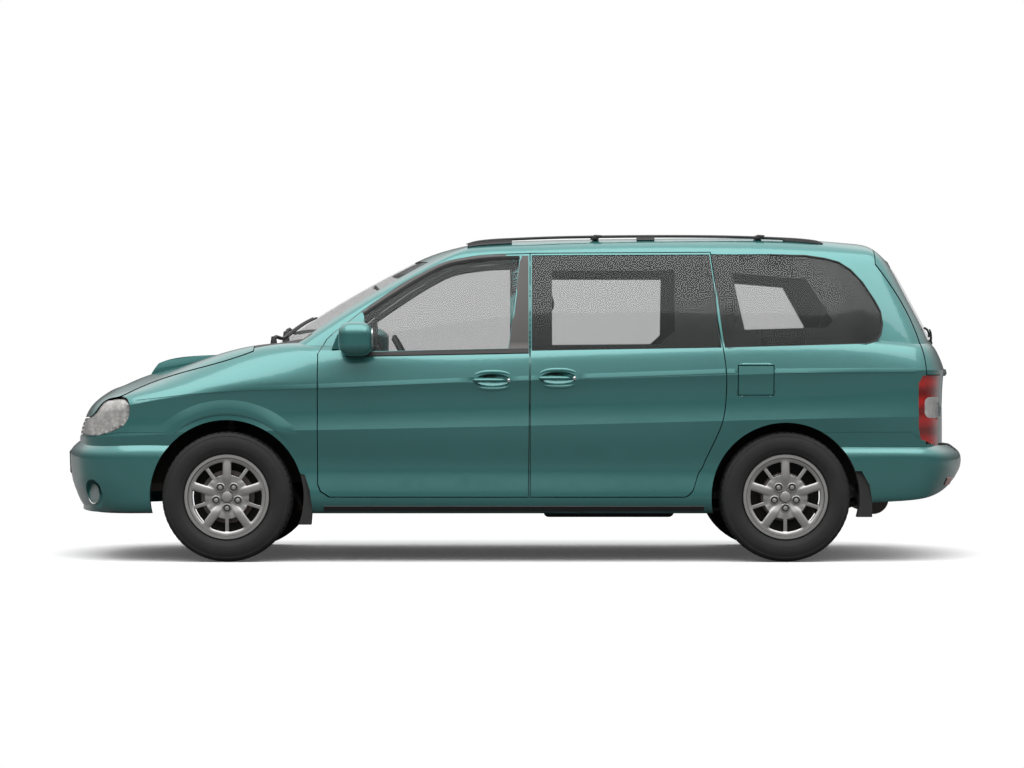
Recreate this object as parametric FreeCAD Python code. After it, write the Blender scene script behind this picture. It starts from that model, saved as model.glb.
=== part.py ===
"""A seven-seat minivan with sliding side doors, as an assembly of body panels, glass, running gear and cabin.

Frame: origin on the ground below the middle of the overall length, +X to the rear, +Y to the vehicle's
right, +Z up. The nose points to -X and the vehicle's left side is at -Y. Units are millimetres.
"""
import FreeCAD
import Part
import math
import os

Vector = FreeCAD.Vector

# Overall sizes
body_length = 4860.0
body_width = 1895.0
roof_height = 1712.0
wheelbase = 2910.0
front_overhang = 925.0

# Running gear
tyre_radius = 340.0
tyre_width = 215.0
rim_radius = 220.0
track_half = 812.0

# Body walls, each as thick as the whole door or panel
side_wall = 70.0
pillar_wall = 48.0
roof_wall = 38.0
panel_gap = 5.0
glass_thickness = 5.0
glass_inset = 2.0
cut_overrun = 60.0

# The outlines are drawn on grids whose lines are about a metre apart: x from the middle of the length, y from
# the middle plane and z from the ground, each a share of the grid below
grid_x = body_length / 4.86
grid_y = body_width / 1.895
grid_z = roof_height / 1.712

nose_x = -body_length / 2
front_axle_x = nose_x + front_overhang
rear_axle_x = front_axle_x + wheelbase


def at(x_share, z_share, y=0.0):
    """A point of a side outline on the grid."""
    return Vector(x_share * grid_x, y, z_share * grid_z)


def hermite(shares, place):
    """The smooth curve through a table of (place, value) pairs, held level past its ends."""
    if place <= shares[0][0]:
        return shares[0][1]
    if place >= shares[-1][0]:
        return shares[-1][1]
    slopes = []
    for i in range(len(shares)):
        low = shares[max(i - 1, 0)]
        high = shares[min(i + 1, len(shares) - 1)]
        slopes.append((high[1] - low[1]) / (high[0] - low[0]))
    for i in range(len(shares) - 1):
        (x0, y0), (x1, y1) = shares[i], shares[i + 1]
        if place <= x1:
            span = x1 - x0
            t = (place - x0) / span
            value = y0 * (1 + 2 * t) * (1 - t) ** 2
            value += slopes[i] * span * t * (1 - t) ** 2
            value += y1 * t * t * (3 - 2 * t)
            value += slopes[i + 1] * span * t * t * (t - 1)
            return value


# Body surfaces: each row is a line that runs from the nose centre, round the corner, along one side and round
# the tail. Sheets through neighbouring rows make the skin, with a crease where a new sheet starts.

# Where a row passes across the front or the tail: share of the way to the edge, share of the sweep there
WRAP_SHARES = ((0.0, 0.0), (0.5, 0.25), (0.85, 0.70), (1.0, 1.0))
# The middle of a corner, as shares of the corner's length and of its depth
CORNER_SHARES = (0.38, 0.74)
# Stations along the flank, as shares of its length
FLANK_SHARES = (0.0, 0.10, 0.23, 0.38, 0.54, 0.70, 0.82, 0.92, 1.0)
MIRROR_ROWS = 3

# Rows of the lower body: nose (x, sweep), tail (x, sweep), flank (first x, last x), edge shares at nose and
# tail, how much of the wall comes off the height inside, half-widths by x and heights by x
HULL_SHARES = (
    ((-2.36, 0.13), (2.298, 0.11), (-1.88, 2.06), (0.80, 0.86), 0.0,
     ((-1.88, 0.845), (-1.0, 0.880), (0.9, 0.885), (2.06, 0.835)),
     ((-2.36, 0.255), (2.298, 0.255))),
    ((-2.36, 0.13), (2.308, 0.11), (-1.88, 2.06), (0.80, 0.86), 0.0,
     ((-1.88, 0.888), (-1.0, 0.922), (0.9, 0.930), (2.06, 0.878)),
     ((-2.36, 0.330), (1.35, 0.330), (1.80, 0.352), (2.308, 0.372))),
    ((-2.37, 0.13), (2.318, 0.11), (-1.88, 2.06), (0.80, 0.86), 0.0,
     ((-1.88, 0.880), (-1.0, 0.911), (0.9, 0.918), (2.06, 0.870)),
     ((-2.37, 0.470), (2.318, 0.470))),
    ((-2.374, 0.125), (2.320, 0.11), (-1.88, 2.06), (0.80, 0.86), 0.0,
     ((-1.88, 0.890), (-1.0, 0.922), (0.9, 0.930), (2.06, 0.882)),
     ((-2.374, 0.560), (-1.88, 0.580), (2.320, 0.610))),
    ((-2.374, 0.120), (2.319, 0.11), (-1.88, 2.06), (0.80, 0.86), 0.0,
     ((-1.88, 0.902), (-1.505, 0.924), (-1.0, 0.937), (-0.2, 0.943), (0.9, 0.944), (1.5, 0.936), (2.06, 0.898)),
     ((-2.374, 0.640), (-1.88, 0.665), (-1.505, 0.680), (-0.707, 0.695), (0.23, 0.715), (1.17, 0.739),
      (2.10, 0.758), (2.319, 0.757))),
    ((-2.366, 0.118), (2.320, 0.11), (-1.88, 2.06), (0.80, 0.86), 0.0,
     ((-1.88, 0.897), (-1.505, 0.918), (-1.0, 0.928), (-0.2, 0.933), (0.9, 0.934), (1.5, 0.926), (2.06, 0.890)),
     ((-2.366, 0.690), (-1.88, 0.755), (-1.505, 0.782), (-0.707, 0.805), (0.23, 0.834), (1.17, 0.858),
      (2.10, 0.880), (2.320, 0.880))),
    ((-2.342, 0.116), (2.330, 0.11), (-1.88, 2.06), (0.80, 0.86), 0.0,
     ((-1.88, 0.902), (-1.505, 0.926), (-1.0, 0.940), (-0.2, 0.9475), (0.9, 0.9475), (1.5, 0.938), (2.06, 0.894)),
     ((-2.342, 0.745), (-1.961, 0.828), (-1.73, 0.866), (-1.42, 0.892), (-1.03, 0.906), (-0.603, 0.923),
      (0.058, 0.944), (1.084, 0.974), (1.62, 0.989), (2.10, 0.999), (2.330, 1.003))),
    ((-2.303, 0.112), (2.315, 0.11), (-1.88, 2.05), (0.79, 0.86), 0.2,
     ((-1.88, 0.862), (-1.505, 0.903), (-1.0, 0.930), (-0.2, 0.934), (0.9, 0.934), (1.5, 0.924), (2.05, 0.878)),
     ((-2.303, 0.815), (-1.88, 0.897), (-1.505, 0.966), (-1.03, 0.994), (-0.603, 1.008), (0.058, 1.030),
      (1.084, 1.060), (1.62, 1.070), (2.05, 1.068), (2.315, 1.050))),
    ((-2.245, 0.108), (2.288, 0.10), (-1.86, 2.03), (0.78, 0.86), 0.6,
     ((-1.86, 0.775), (-1.505, 0.812), (-1.03, 0.893), (-0.6, 0.906), (0.9, 0.907), (1.5, 0.896), (2.03, 0.848)),
     ((-2.245, 0.868), (-1.994, 0.905), (-1.716, 0.994), (-1.40, 1.078), (-1.03, 1.092), (-0.603, 1.085),
      (-0.1, 1.094), (0.72, 1.122), (1.2, 1.140), (1.7, 1.144), (2.03, 1.130), (2.288, 1.105))),
    ((-2.170, 0.080), (2.240, 0.08), (-1.84, 2.00), (0.76, 0.88), 1.0,
     ((-1.84, 0.46), (-1.4, 0.50), (-1.0, 0.58), (0.9, 0.60), (2.00, 0.58)),
     ((-2.170, 0.905), (-2.00, 0.955), (-1.70, 1.044), (-1.40, 1.112), (-1.03, 1.130), (-0.603, 1.120),
      (0.72, 1.150), (1.7, 1.170), (2.240, 1.140))),
    ((-2.110, 0.06), (2.202, 0.06), (-1.82, 1.97), (1.0, 1.0), 1.0,
     ((-1.82, 0.0), (1.97, 0.0)),
     ((-2.110, 0.936), (-2.004, 0.977), (-1.80, 1.036), (-1.597, 1.085), (-1.381, 1.125), (-1.03, 1.140),
      (-0.603, 1.130), (0.72, 1.160), (1.7, 1.180), (2.202, 1.150))),
)
HULL_CREASES = (4, 6)

# Rows of the glasshouse and roof, in the same form
GLASSHOUSE_SHARES = (
    ((-1.48, 0.17), (2.302, 0.10), (-1.14, 2.07), (0.90, 0.86), 0.0,
     ((-1.14, 0.860), (-0.6, 0.895), (0.9, 0.900), (1.5, 0.892), (2.07, 0.845)),
     ((-1.48, 1.03), (2.302, 1.03))),
    ((-1.277, 0.16), (2.257, 0.10), (-0.98, 2.03), (0.90, 0.86), 0.0,
     ((-0.98, 0.835), (-0.5, 0.866), (0.9, 0.872), (1.5, 0.864), (2.03, 0.818)),
     ((-1.277, 1.166), (2.257, 1.166))),
    ((-0.914, 0.15), (2.142, 0.095), (-0.64, 1.94), (0.895, 0.86), 0.0,
     ((-0.64, 0.772), (-0.2, 0.800), (0.9, 0.806), (1.5, 0.798), (1.94, 0.761)),
     ((-0.914, 1.396), (2.142, 1.396))),
    ((-0.620, 0.14), (2.045, 0.08), (-0.37, 1.87), (0.89, 0.88), 0.1,
     ((-0.37, 0.722), (0.1, 0.747), (0.9, 0.752), (1.4, 0.747), (1.87, 0.714)),
     ((-0.620, 1.556), (2.045, 1.556))),
    ((-0.470, 0.13), (1.980, 0.065), (-0.24, 1.83), (0.88, 0.91), 0.4,
     ((-0.24, 0.684), (0.2, 0.708), (0.9, 0.712), (1.4, 0.707), (1.83, 0.676)),
     ((-0.470, 1.626), (0.0, 1.633), (0.9, 1.640), (1.980, 1.620))),
    ((-0.372, 0.11), (1.930, 0.05), (-0.17, 1.80), (0.86, 0.92), 0.8,
     ((-0.17, 0.615), (0.3, 0.645), (0.9, 0.650), (1.4, 0.645), (1.80, 0.610)),
     ((-0.372, 1.656), (0.0, 1.670), (0.9, 1.681), (1.5, 1.674), (1.930, 1.650))),
    ((-0.200, 0.06), (1.830, 0.03), (-0.06, 1.74), (0.84, 0.90), 1.0,
     ((-0.06, 0.350), (0.4, 0.380), (0.9, 0.385), (1.4, 0.380), (1.74, 0.350)),
     ((-0.200, 1.683), (0.1, 1.695), (0.9, 1.705), (1.4, 1.699), (1.830, 1.678))),
    ((0.0, 0.04), (1.740, 0.03), (0.10, 1.67), (1.0, 1.0), 1.0,
     ((0.10, 0.0), (1.67, 0.0)),
     ((0.0, 1.6995), (0.517, 1.710), (0.895, 1.712), (1.233, 1.708), (1.740, 1.688))),
)


def row_points(row_shares, side_inset, top_inset, base_drop):
    """The points of one row, moved inward from the sides and ends and down from the top."""
    front, rear, flank, edges, lift, widths, heights = row_shares
    front_x = front[0] * grid_x
    rear_x = rear[0] * grid_x
    front_sweep = front[1] * grid_x
    rear_sweep = rear[1] * grid_x
    flank_x = flank[0] * grid_x
    flank_length = (flank[1] - flank[0]) * grid_x
    inset = side_inset if widths[0][1] > 0 else 0.0
    places = []
    sides = []
    for share in FLANK_SHARES:
        x = flank_x + flank_length * share
        sides.append((x, hermite(widths, x / grid_x) * grid_y - inset))
    edge = sides[0][1] * edges[0]
    corner_x = front_x + front_sweep
    for across, back in WRAP_SHARES:
        places.append((front_x + front_sweep * back, edge * across))
    to_flank = sides[0][0] - corner_x
    places.append((corner_x + to_flank * CORNER_SHARES[0], edge + (sides[0][1] - edge) * CORNER_SHARES[1]))
    places.extend(sides)
    edge = sides[-1][1] * edges[1]
    corner_x = rear_x - rear_sweep
    to_flank = sides[-1][0] - corner_x
    places.append((corner_x + to_flank * CORNER_SHARES[0], edge + (sides[-1][1] - edge) * CORNER_SHARES[1]))
    for across, back in reversed(WRAP_SHARES):
        places.append((rear_x - rear_sweep * back, edge * across))
    middle = (front_x + rear_x) / 2
    shrink = (rear_x - front_x - side_inset * 2) / (rear_x - front_x)
    points = []
    for x, y in places:
        z = hermite(heights, x / grid_x) * grid_z
        points.append(Vector(middle + (x - middle) * shrink, y, z - top_inset * lift - base_drop))
    return points


def mirrored(point):
    """The point on the other side of the vehicle's middle plane."""
    return Vector(point.x, -point.y, point.z)


def interpolated(points, params):
    """The cubic curve through the points at the given parameters."""
    curve = Part.BSplineCurve()
    curve.interpolate(Points=points, Parameters=params)
    return curve


def past_params(params, at_start, at_end):
    """Parameters carried on past the middle plane at one or both ends."""
    before = [params[0] * 2 - t for t in params[MIRROR_ROWS:0:-1]] if at_start else []
    after = [params[-1] * 2 - t for t in params[-2:-2 - MIRROR_ROWS:-1]] if at_end else []
    return before + params + after


def past_points(line, at_start, at_end):
    """A line of points carried on past the middle plane by its mirror image, so that it crosses it square."""
    before = [mirrored(p) for p in line[MIRROR_ROWS:0:-1]] if at_start else []
    after = [mirrored(p) for p in line[-2:-2 - MIRROR_ROWS:-1]] if at_end else []
    return before + line + after


def mean_params(lines):
    """Parameters for the points of all lines at once, from their mean spacing."""
    params = [0.0]
    for k in range(1, len(lines[0])):
        step = sum((line[k] - line[k - 1]).Length for line in lines) / len(lines)
        params.append(params[-1] + step)
    return params


def skin_sheet(curves, rows, closes_on_middle):
    """The sheet through neighbouring row curves. The last row may lie on the middle plane."""
    params = mean_params([list(points) for points in zip(*rows)])
    full = past_params(params, False, closes_on_middle)
    pole_rows = [curve.getPoles() for curve in curves]
    if closes_on_middle:
        pole_rows += [[mirrored(p) for p in row] for row in pole_rows[-2:-2 - MIRROR_ROWS:-1]]
    columns = []
    for k in range(len(pole_rows[0])):
        columns.append(interpolated([row[k] for row in pole_rows], full))
    along, across = curves[0], columns[0]
    sheet = Part.BSplineSurface()
    sheet.buildFromPolesMultsKnots(
        [column.getPoles() for column in columns],
        along.getMultiplicities(), across.getMultiplicities(),
        along.getKnots(), across.getKnots(), False, False, along.Degree, across.Degree,
    )
    if closes_on_middle:
        knots = along.getKnots()
        sheet.segment(knots[0], knots[-1], params[0], params[-1])
    return sheet.toShape()


def wrapped_solid(rows, creases):
    """The closed solid inside a set of rows and their mirror image. creases are the numbers of sharp rows."""
    params = mean_params(rows)
    full = past_params(params, True, True)
    curves = []
    for row in rows:
        curve = interpolated(past_points(row, True, True), full)
        curve.segment(params[0], params[-1])
        curves.append(curve)
    breaks = [0] + list(creases) + [len(rows) - 1]
    faces = []
    for low, high in zip(breaks, breaks[1:]):
        closes = high == len(rows) - 1
        faces.append(skin_sheet(curves[low:high + 1], rows[low:high + 1], closes))
    middle_plane = Vector(0, 1, 0)
    faces += [face.mirror(Vector(), middle_plane) for face in faces]
    base = curves[0].toShape()
    base_edges = [base, base.mirror(Vector(), middle_plane)]
    faces.append(Part.Face(Part.Wire(base_edges)))
    shell = Part.Shell(faces)
    shell.sewShape()
    return Part.Solid(shell)


def master(rows_shares, creases, side_inset=0.0, top_inset=0.0, base_drop=0.0):
    """A body master: the closed solid of a set of rows, or one lying inside it by the given insets."""
    rows = []
    for number, row_shares in enumerate(rows_shares):
        rows.append(row_points(row_shares, side_inset, top_inset, base_drop if number == 0 else 0.0))
    return wrapped_solid(rows, creases)


def box(x0, x1, y0, y1, z0, z1):
    """A block between two places on each axis."""
    return Part.makeBox(x1 - x0, y1 - y0, z1 - z0, Vector(x0, y0, z0))


def disc(x, y0, z, y1, radius):
    """A cylinder across the vehicle."""
    return Part.makeCylinder(radius, y1 - y0, Vector(x, y0, z), Vector(0, 1, 0))


def resized(shares, growth):
    """An outline grown by the same amount at each of its four sides, or shrunk where growth is negative."""
    xs = [x * grid_x for x, z in shares]
    zs = [z * grid_z for x, z in shares]
    mid_x, mid_z = (min(xs) + max(xs)) / 2, (min(zs) + max(zs)) / 2
    wide = 1 + growth * 2 / (max(xs) - min(xs))
    high = 1 + growth * 2 / (max(zs) - min(zs))
    return [(mid_x + (x - mid_x) * wide, mid_z + (z - mid_z) * high) for x, z in zip(xs, zs)]


def side_prism(shares, y0, y1, growth=0.0, smooth=()):
    """The solid behind a side outline between two places across the vehicle. smooth lists (first, last) point
    numbers of the stretches that run as one curve."""
    points = [Vector(x, y0, z) for x, z in resized(shares, growth)]
    points.append(points[0])
    edges = []
    at_point = 0
    while at_point < len(points) - 1:
        run = [last for first, last in smooth if first == at_point]
        if run:
            curve = Part.BSplineCurve()
            curve.interpolate(points[at_point:run[0] + 1])
            edges.append(curve.toShape())
            at_point = run[0]
        else:
            edges.append(Part.makeLine(points[at_point], points[at_point + 1]))
            at_point += 1
    return Part.Face(Part.Wire(edges)).extrude(Vector(0, y1 - y0, 0))


def opposite(shape):
    """The same shape on the other side of the vehicle."""
    return shape.mirror(Vector(), Vector(0, 1, 0))


def joined(shapes):
    """Several shapes made one."""
    first, rest = shapes[0], list(shapes[1:])
    return first.fuse(rest) if rest else first


def kept(name, shape):
    """Writes one node of the assembly as its solids."""
    solids = shape.Solids
    one = solids[0] if len(solids) == 1 else Part.makeCompound(solids)
    one.exportStep("parts/" + name + ".step")


# Bumper skins: one row body for both ends, proud of the lower body
bumper_wall = 45.0
BUMPER_SHARES = (
    ((-2.322, 0.15), (2.300, 0.15), (-1.86, 2.04), (0.80, 0.86), 0.0,
     ((-1.86, 0.872), (-1.0, 0.872), (1.4, 0.880), (2.04, 0.852)),
     ((-2.322, 0.248), (2.300, 0.312))),
    ((-2.362, 0.15), (2.348, 0.16), (-1.86, 2.04), (0.80, 0.86), 0.0,
     ((-1.86, 0.905), (-1.0, 0.905), (1.4, 0.915), (2.04, 0.890)),
     ((-2.362, 0.278), (-1.86, 0.285), (1.80, 0.312), (2.348, 0.338))),
    ((-2.393, 0.15), (2.386, 0.17), (-1.86, 2.04), (0.80, 0.86), 0.0,
     ((-1.86, 0.914), (-1.0, 0.914), (1.4, 0.925), (2.04, 0.903)),
     ((-2.393, 0.340), (1.80, 0.350), (2.386, 0.382))),
    ((-2.422, 0.15), (2.418, 0.17), (-1.86, 2.04), (0.80, 0.86), 0.0,
     ((-1.86, 0.918), (-1.0, 0.918), (1.4, 0.930), (2.04, 0.909)),
     ((-2.422, 0.430), (2.418, 0.455))),
    ((-2.430, 0.15), (2.430, 0.17), (-1.86, 2.04), (0.80, 0.86), 0.0,
     ((-1.86, 0.919), (-1.0, 0.919), (1.4, 0.931), (2.04, 0.911)),
     ((-2.430, 0.520), (2.430, 0.530))),
    ((-2.424, 0.15), (2.412, 0.165), (-1.86, 2.04), (0.80, 0.86), 0.2,
     ((-1.86, 0.915), (-1.0, 0.915), (1.4, 0.926), (2.04, 0.907)),
     ((-2.424, 0.575), (2.412, 0.570))),
    ((-2.390, 0.14), (2.374, 0.15), (-1.86, 2.03), (0.79, 0.86), 0.7,
     ((-1.86, 0.893), (-1.0, 0.893), (1.4, 0.905), (2.03, 0.885)),
     ((-2.390, 0.612), (2.374, 0.596))),
    ((-2.300, 0.11), (2.290, 0.08), (-1.84, 2.00), (0.78, 0.90), 1.0,
     ((-1.84, 0.60), (-1.0, 0.60), (1.4, 0.60), (2.00, 0.60)),
     ((-2.300, 0.628), (2.290, 0.612))),
    ((-2.200, 0.06), (2.200, 0.05), (-1.80, 1.95), (1.0, 1.0), 1.0,
     ((-1.80, 0.0), (1.95, 0.0)),
     ((-2.200, 0.635), (2.200, 0.618))),
)

half_width = body_width / 2
far_y = half_width + cut_overrun
ends_x = (nose_x - cut_overrun, -nose_x + cut_overrun)
near_half = box(ends_x[0], ends_x[1], -far_y, 0, 0, roof_height + cut_overrun)

hull = master(HULL_SHARES, HULL_CREASES)
hull_inside = master(HULL_SHARES, HULL_CREASES, side_wall, roof_wall, cut_overrun)
glasshouse = master(GLASSHOUSE_SHARES, ())
glasshouse_inside = master(GLASSHOUSE_SHARES, (), pillar_wall, roof_wall, cut_overrun)
pane_outside = master(GLASSHOUSE_SHARES, (), glass_inset)
pane_inside = master(GLASSHOUSE_SHARES, (), glass_inset + glass_thickness)
screen_inside = master(GLASSHOUSE_SHARES, (), glass_inset + glass_thickness * 2)
bumper_outside = master(BUMPER_SHARES, ())
bumper_inside = master(BUMPER_SHARES, (), bumper_wall, bumper_wall, cut_overrun)

body_outside = hull.fuse(glasshouse)
body_inside = hull_inside.fuse(glasshouse_inside)
near_shell = body_outside.cut(body_inside).common(near_half)

# Side outlines of the panels, as shares of the grids
FRONT_DOOR_SHARES = (
    (-1.029, 1.085), (-1.029, 0.410), (-1.014, 0.372), (-0.968, 0.342), (0.063, 0.342), (0.070, 1.000),
    (0.073, 1.614), (-0.077, 1.609), (-0.218, 1.599), (-0.312, 1.580), (-0.405, 1.548), (-0.499, 1.506),
    (-0.592, 1.455), (-0.685, 1.393), (-0.797, 1.314), (-0.890, 1.239), (-0.945, 1.199), (-0.986, 1.161),
)
FRONT_DOOR_CURVES = ((6, 16),)
FRONT_GLASS_SHARES = (
    (-0.785, 1.098), (-0.795, 1.289), (-0.640, 1.393), (-0.500, 1.480), (-0.368, 1.546), (-0.240, 1.573),
    (-0.110, 1.586), (0.021, 1.591), (-0.005, 1.350), (-0.039, 1.113),
)
FRONT_GLASS_CURVES = ((1, 4), (4, 7))
SLIDING_DOOR_SHARES = (
    (0.078, 1.614), (0.078, 0.342), (0.855, 0.342), (0.890, 0.347), (0.908, 0.361), (0.931, 0.407),
    (0.967, 0.490), (1.027, 0.622), (1.075, 0.742), (1.092, 0.873), (1.092, 0.993), (1.077, 1.113),
    (1.046, 1.427), (1.022, 1.619),
)
SLIDING_DOOR_CURVES = ((2, 6), (6, 12))
SLIDING_PANE_SHARES = ((0.084, 1.606), (0.084, 1.101), (1.071, 1.117), (1.042, 1.427), (1.018, 1.610))
SLIDING_HOLE_SHARES = ((0.190, 1.526), (0.190, 1.132), (0.756, 1.137), (0.834, 1.210), (0.834, 1.526))
QUARTER_PANE_SHARES = (
    (1.028, 1.612), (1.088, 1.117), (1.830, 1.138), (1.880, 1.152), (1.908, 1.184), (1.920, 1.240),
    (1.910, 1.310), (1.882, 1.3656), (1.821, 1.462), (1.761, 1.528), (1.701, 1.568), (1.629, 1.588),
    (1.521, 1.604), (1.340, 1.612),
)
QUARTER_PANE_CURVES = ((2, 7), (7, 10), (10, 14))
QUARTER_HOLE_SHARES = ((1.134, 1.515), (1.196, 1.212), (1.629, 1.224), (1.663, 1.258), (1.533, 1.480))
# The line between bonnet and wing, from the nose to the front door
BONNET_LINE_SHARES = (
    (-2.500, 0.735), (-2.260, 0.748), (-2.206, 0.776), (-2.175, 0.818), (-2.136, 0.845), (-2.080, 0.857),
    (-2.030, 0.877), (-1.994, 0.896), (-1.716, 0.994), (-1.372, 1.098),
)
BONNET_CURVES = ((1, 9),)
BONNET_TOP_SHARES = ((-1.372, 1.300), (-2.500, 1.300))
WING_SHARES = BONNET_LINE_SHARES + ((-1.319, 1.114), (-1.034, 1.098), (-1.034, 0.200), (-2.500, 0.200))
COWL_SHARES = ((-1.372, 1.098), (-1.319, 1.114), (-1.034, 1.098), (-1.034, 1.160), (-1.120, 1.240), (-1.372, 1.240))
HEADLAMP_SHARES = (
    (-2.500, 0.658), (-2.239, 0.658), (-2.185, 0.659), (-2.141, 0.670), (-2.077, 0.692), (-2.039, 0.721),
    (-2.020, 0.753), (-2.014, 0.791), (-2.017, 0.817), (-2.032, 0.839), (-2.077, 0.848), (-2.134, 0.842),
    (-2.173, 0.817), (-2.204, 0.775), (-2.260, 0.746), (-2.500, 0.732),
)
HEADLAMP_CURVES = ((2, 7), (7, 11), (11, 15))
FRONT_BUMPER_SHARES = (
    (-2.500, 0.200), (-1.600, 0.200), (-1.600, 0.673), (-2.060, 0.673), (-2.140, 0.664), (-2.240, 0.650),
    (-2.500, 0.640),
)
REAR_BUMPER_SHARES = (
    (2.500, 0.200), (1.500, 0.200), (1.500, 0.674), (2.060, 0.676), (2.110, 0.642), (2.200, 0.605), (2.500, 0.600),
)
TAILGATE_SHARES = (
    (1.893, 1.760), (1.893, 1.556), (1.903, 1.543), (1.971, 1.446), (2.040, 1.330), (2.097, 1.198),
    (2.128, 1.090), (2.141, 0.993), (2.141, 0.613), (2.520, 0.603), (2.520, 1.760),
)
TAILGATE_CURVES = ((2, 7),)
TAILGATE_HOLE_SHARES = ((-0.640, 1.150), (-0.560, 1.560), (0.560, 1.560), (0.640, 1.150))
TAIL_LAMP_SHARES = (
    (2.101, 0.700), (2.101, 0.930), (2.125, 0.972), (2.520, 0.976), (2.520, 0.595), (2.200, 0.600), (2.115, 0.630),
)
ROOF_SHARES = ((-0.620, 1.585), (-0.620, 1.760), (1.893, 1.760), (1.893, 1.585))
WINDSCREEN_SHARES = (
    (-0.755, 1.165), (-0.700, 1.325), (-0.655, 1.447), (-0.598, 1.575), (-0.300, 1.590), (0.300, 1.590),
    (0.598, 1.575), (0.655, 1.447), (0.700, 1.325), (0.755, 1.165), (0.400, 1.150), (-0.400, 1.150),
)


def front_prism(shares, x0, x1):
    """The solid behind an outline seen from the front, between two places along the vehicle."""
    points = [Vector(x0, y * grid_y, z * grid_z) for y, z in shares]
    return Part.Face(Part.makePolygon(points + points[:1])).extrude(Vector(x1 - x0, 0, 0))


def glazed(panel, pane_prism, hole_prism, pane_back):
    """A panel with a seat for a bonded pane and the hole behind it, and the pane itself."""
    seat = pane_prism.cut(pane_back)
    pane = pane_prism.common(pane_outside).cut(pane_back)
    return panel.cut([seat, hole_prism]), pane


half_gap = panel_gap / 2

# Where the panels meet
roof_half = 655.0
lamp_half = 420.0
cowl_half = 770.0
tail_lamp_inner = 715.0
arch_radius = 401.0
rear_arch_radius = 387.0
axle_height = tyre_radius
screen_front = front_axle_x + 100.0
screen_back = front_axle_x + 1200.0
skin_thickness = 4.0

near_edge = -far_y
panel_depth = -half_width / 2
front_arch = disc(front_axle_x, near_edge, axle_height, 0, arch_radius)
rear_arch = disc(rear_axle_x, near_edge, axle_height, 0, rear_arch_radius)


def moved(shape, x, y, z):
    """The shape moved."""
    result = shape.copy()
    result.translate(Vector(x, y, z))
    return result


wing_region = side_prism(WING_SHARES, near_edge, 0, 0.0, BONNET_CURVES)
bonnet_cut = side_prism(BONNET_LINE_SHARES + BONNET_TOP_SHARES, near_edge, 0, 0.0, BONNET_CURVES)
bonnet_region = moved(bonnet_cut, -panel_gap, 0, panel_gap)
headlamp_region = side_prism(HEADLAMP_SHARES, near_edge, -lamp_half, 0.0, HEADLAMP_CURVES)
above_lamp = moved(headlamp_region, 0, 0, panel_gap * 3)
front_bumper_region = side_prism(FRONT_BUMPER_SHARES, near_edge, 0)
rear_bumper_region = side_prism(REAR_BUMPER_SHARES, near_edge, 0)
cowl_region = side_prism(COWL_SHARES, -cowl_half, 0)
tailgate_cut = side_prism(TAILGATE_SHARES, near_edge, 0, 0.0, TAILGATE_CURVES)
tailgate_region = moved(tailgate_cut, panel_gap, 0, panel_gap)
tail_lamp_region = side_prism(TAIL_LAMP_SHARES, near_edge, -tail_lamp_inner)
tail_lamp_cut = side_prism(TAIL_LAMP_SHARES, near_edge, panel_gap - tail_lamp_inner, panel_gap)
below_lamp = box(
    rear_axle_x, ends_x[1], near_edge, panel_gap - tail_lamp_inner, 0, TAIL_LAMP_SHARES[0][1] * grid_z)
tailgate_sill = box(
    TAILGATE_SHARES[8][0] * grid_x, ends_x[1], near_edge, 0, 0, TAILGATE_SHARES[8][1] * grid_z + panel_gap)
front_door_region = side_prism(FRONT_DOOR_SHARES, near_edge, panel_depth, 0.0, FRONT_DOOR_CURVES)
front_door_hole = side_prism(FRONT_DOOR_SHARES, near_edge, panel_depth, panel_gap, FRONT_DOOR_CURVES)
sliding_door_region = side_prism(SLIDING_DOOR_SHARES, near_edge, panel_depth, 0.0, SLIDING_DOOR_CURVES)
sliding_door_hole = side_prism(SLIDING_DOOR_SHARES, near_edge, panel_depth, panel_gap, SLIDING_DOOR_CURVES)
roof_region = side_prism(ROOF_SHARES, -roof_half, 0)
windscreen_region = front_prism(WINDSCREEN_SHARES, screen_front, screen_back).common(near_half)
door_glass_region = side_prism(FRONT_GLASS_SHARES, near_edge, panel_depth, 0.0, FRONT_GLASS_CURVES)
sliding_pane_region = side_prism(SLIDING_PANE_SHARES, near_edge, panel_depth)
sliding_hole = side_prism(SLIDING_HOLE_SHARES, near_edge, panel_depth)
quarter_pane_region = side_prism(QUARTER_PANE_SHARES, near_edge, panel_depth, 0.0, QUARTER_PANE_CURVES)
quarter_hole = side_prism(QUARTER_HOLE_SHARES, near_edge, panel_depth)
tailgate_hole = front_prism(TAILGATE_HOLE_SHARES, rear_axle_x, ends_x[1]).common(near_half)

# Front door hinge: forward of the door's edge and inside the skin, so that the edge swings out past the wing
hinge_ahead = 36.0
hinge_inside = 37.0
hinge_relief = 14.0
hinge_pocket = 66.0
hinge_pin_radius = 5.0
hinge_barrel_radius = 10.0
hinge_barrel_length = 44.0
hinge_fit = 0.3
HINGE_HEIGHT_SHARES = (0.68, 0.89)
hinge_x = FRONT_DOOR_SHARES[0][0] * grid_x - hinge_ahead
hinge_y = -(half_width - hinge_inside)
door_edge_x = FRONT_DOOR_SHARES[0][0] * grid_x
skin_inside = master(HULL_SHARES, HULL_CREASES, skin_thickness)
pocket = skin_inside.common(box(door_edge_x - hinge_pocket, door_edge_x, near_edge, panel_depth, 0, roof_height))
door_edge_relief = skin_inside.common(
    box(door_edge_x, door_edge_x + hinge_relief, near_edge, panel_depth, 0, roof_height))

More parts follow.
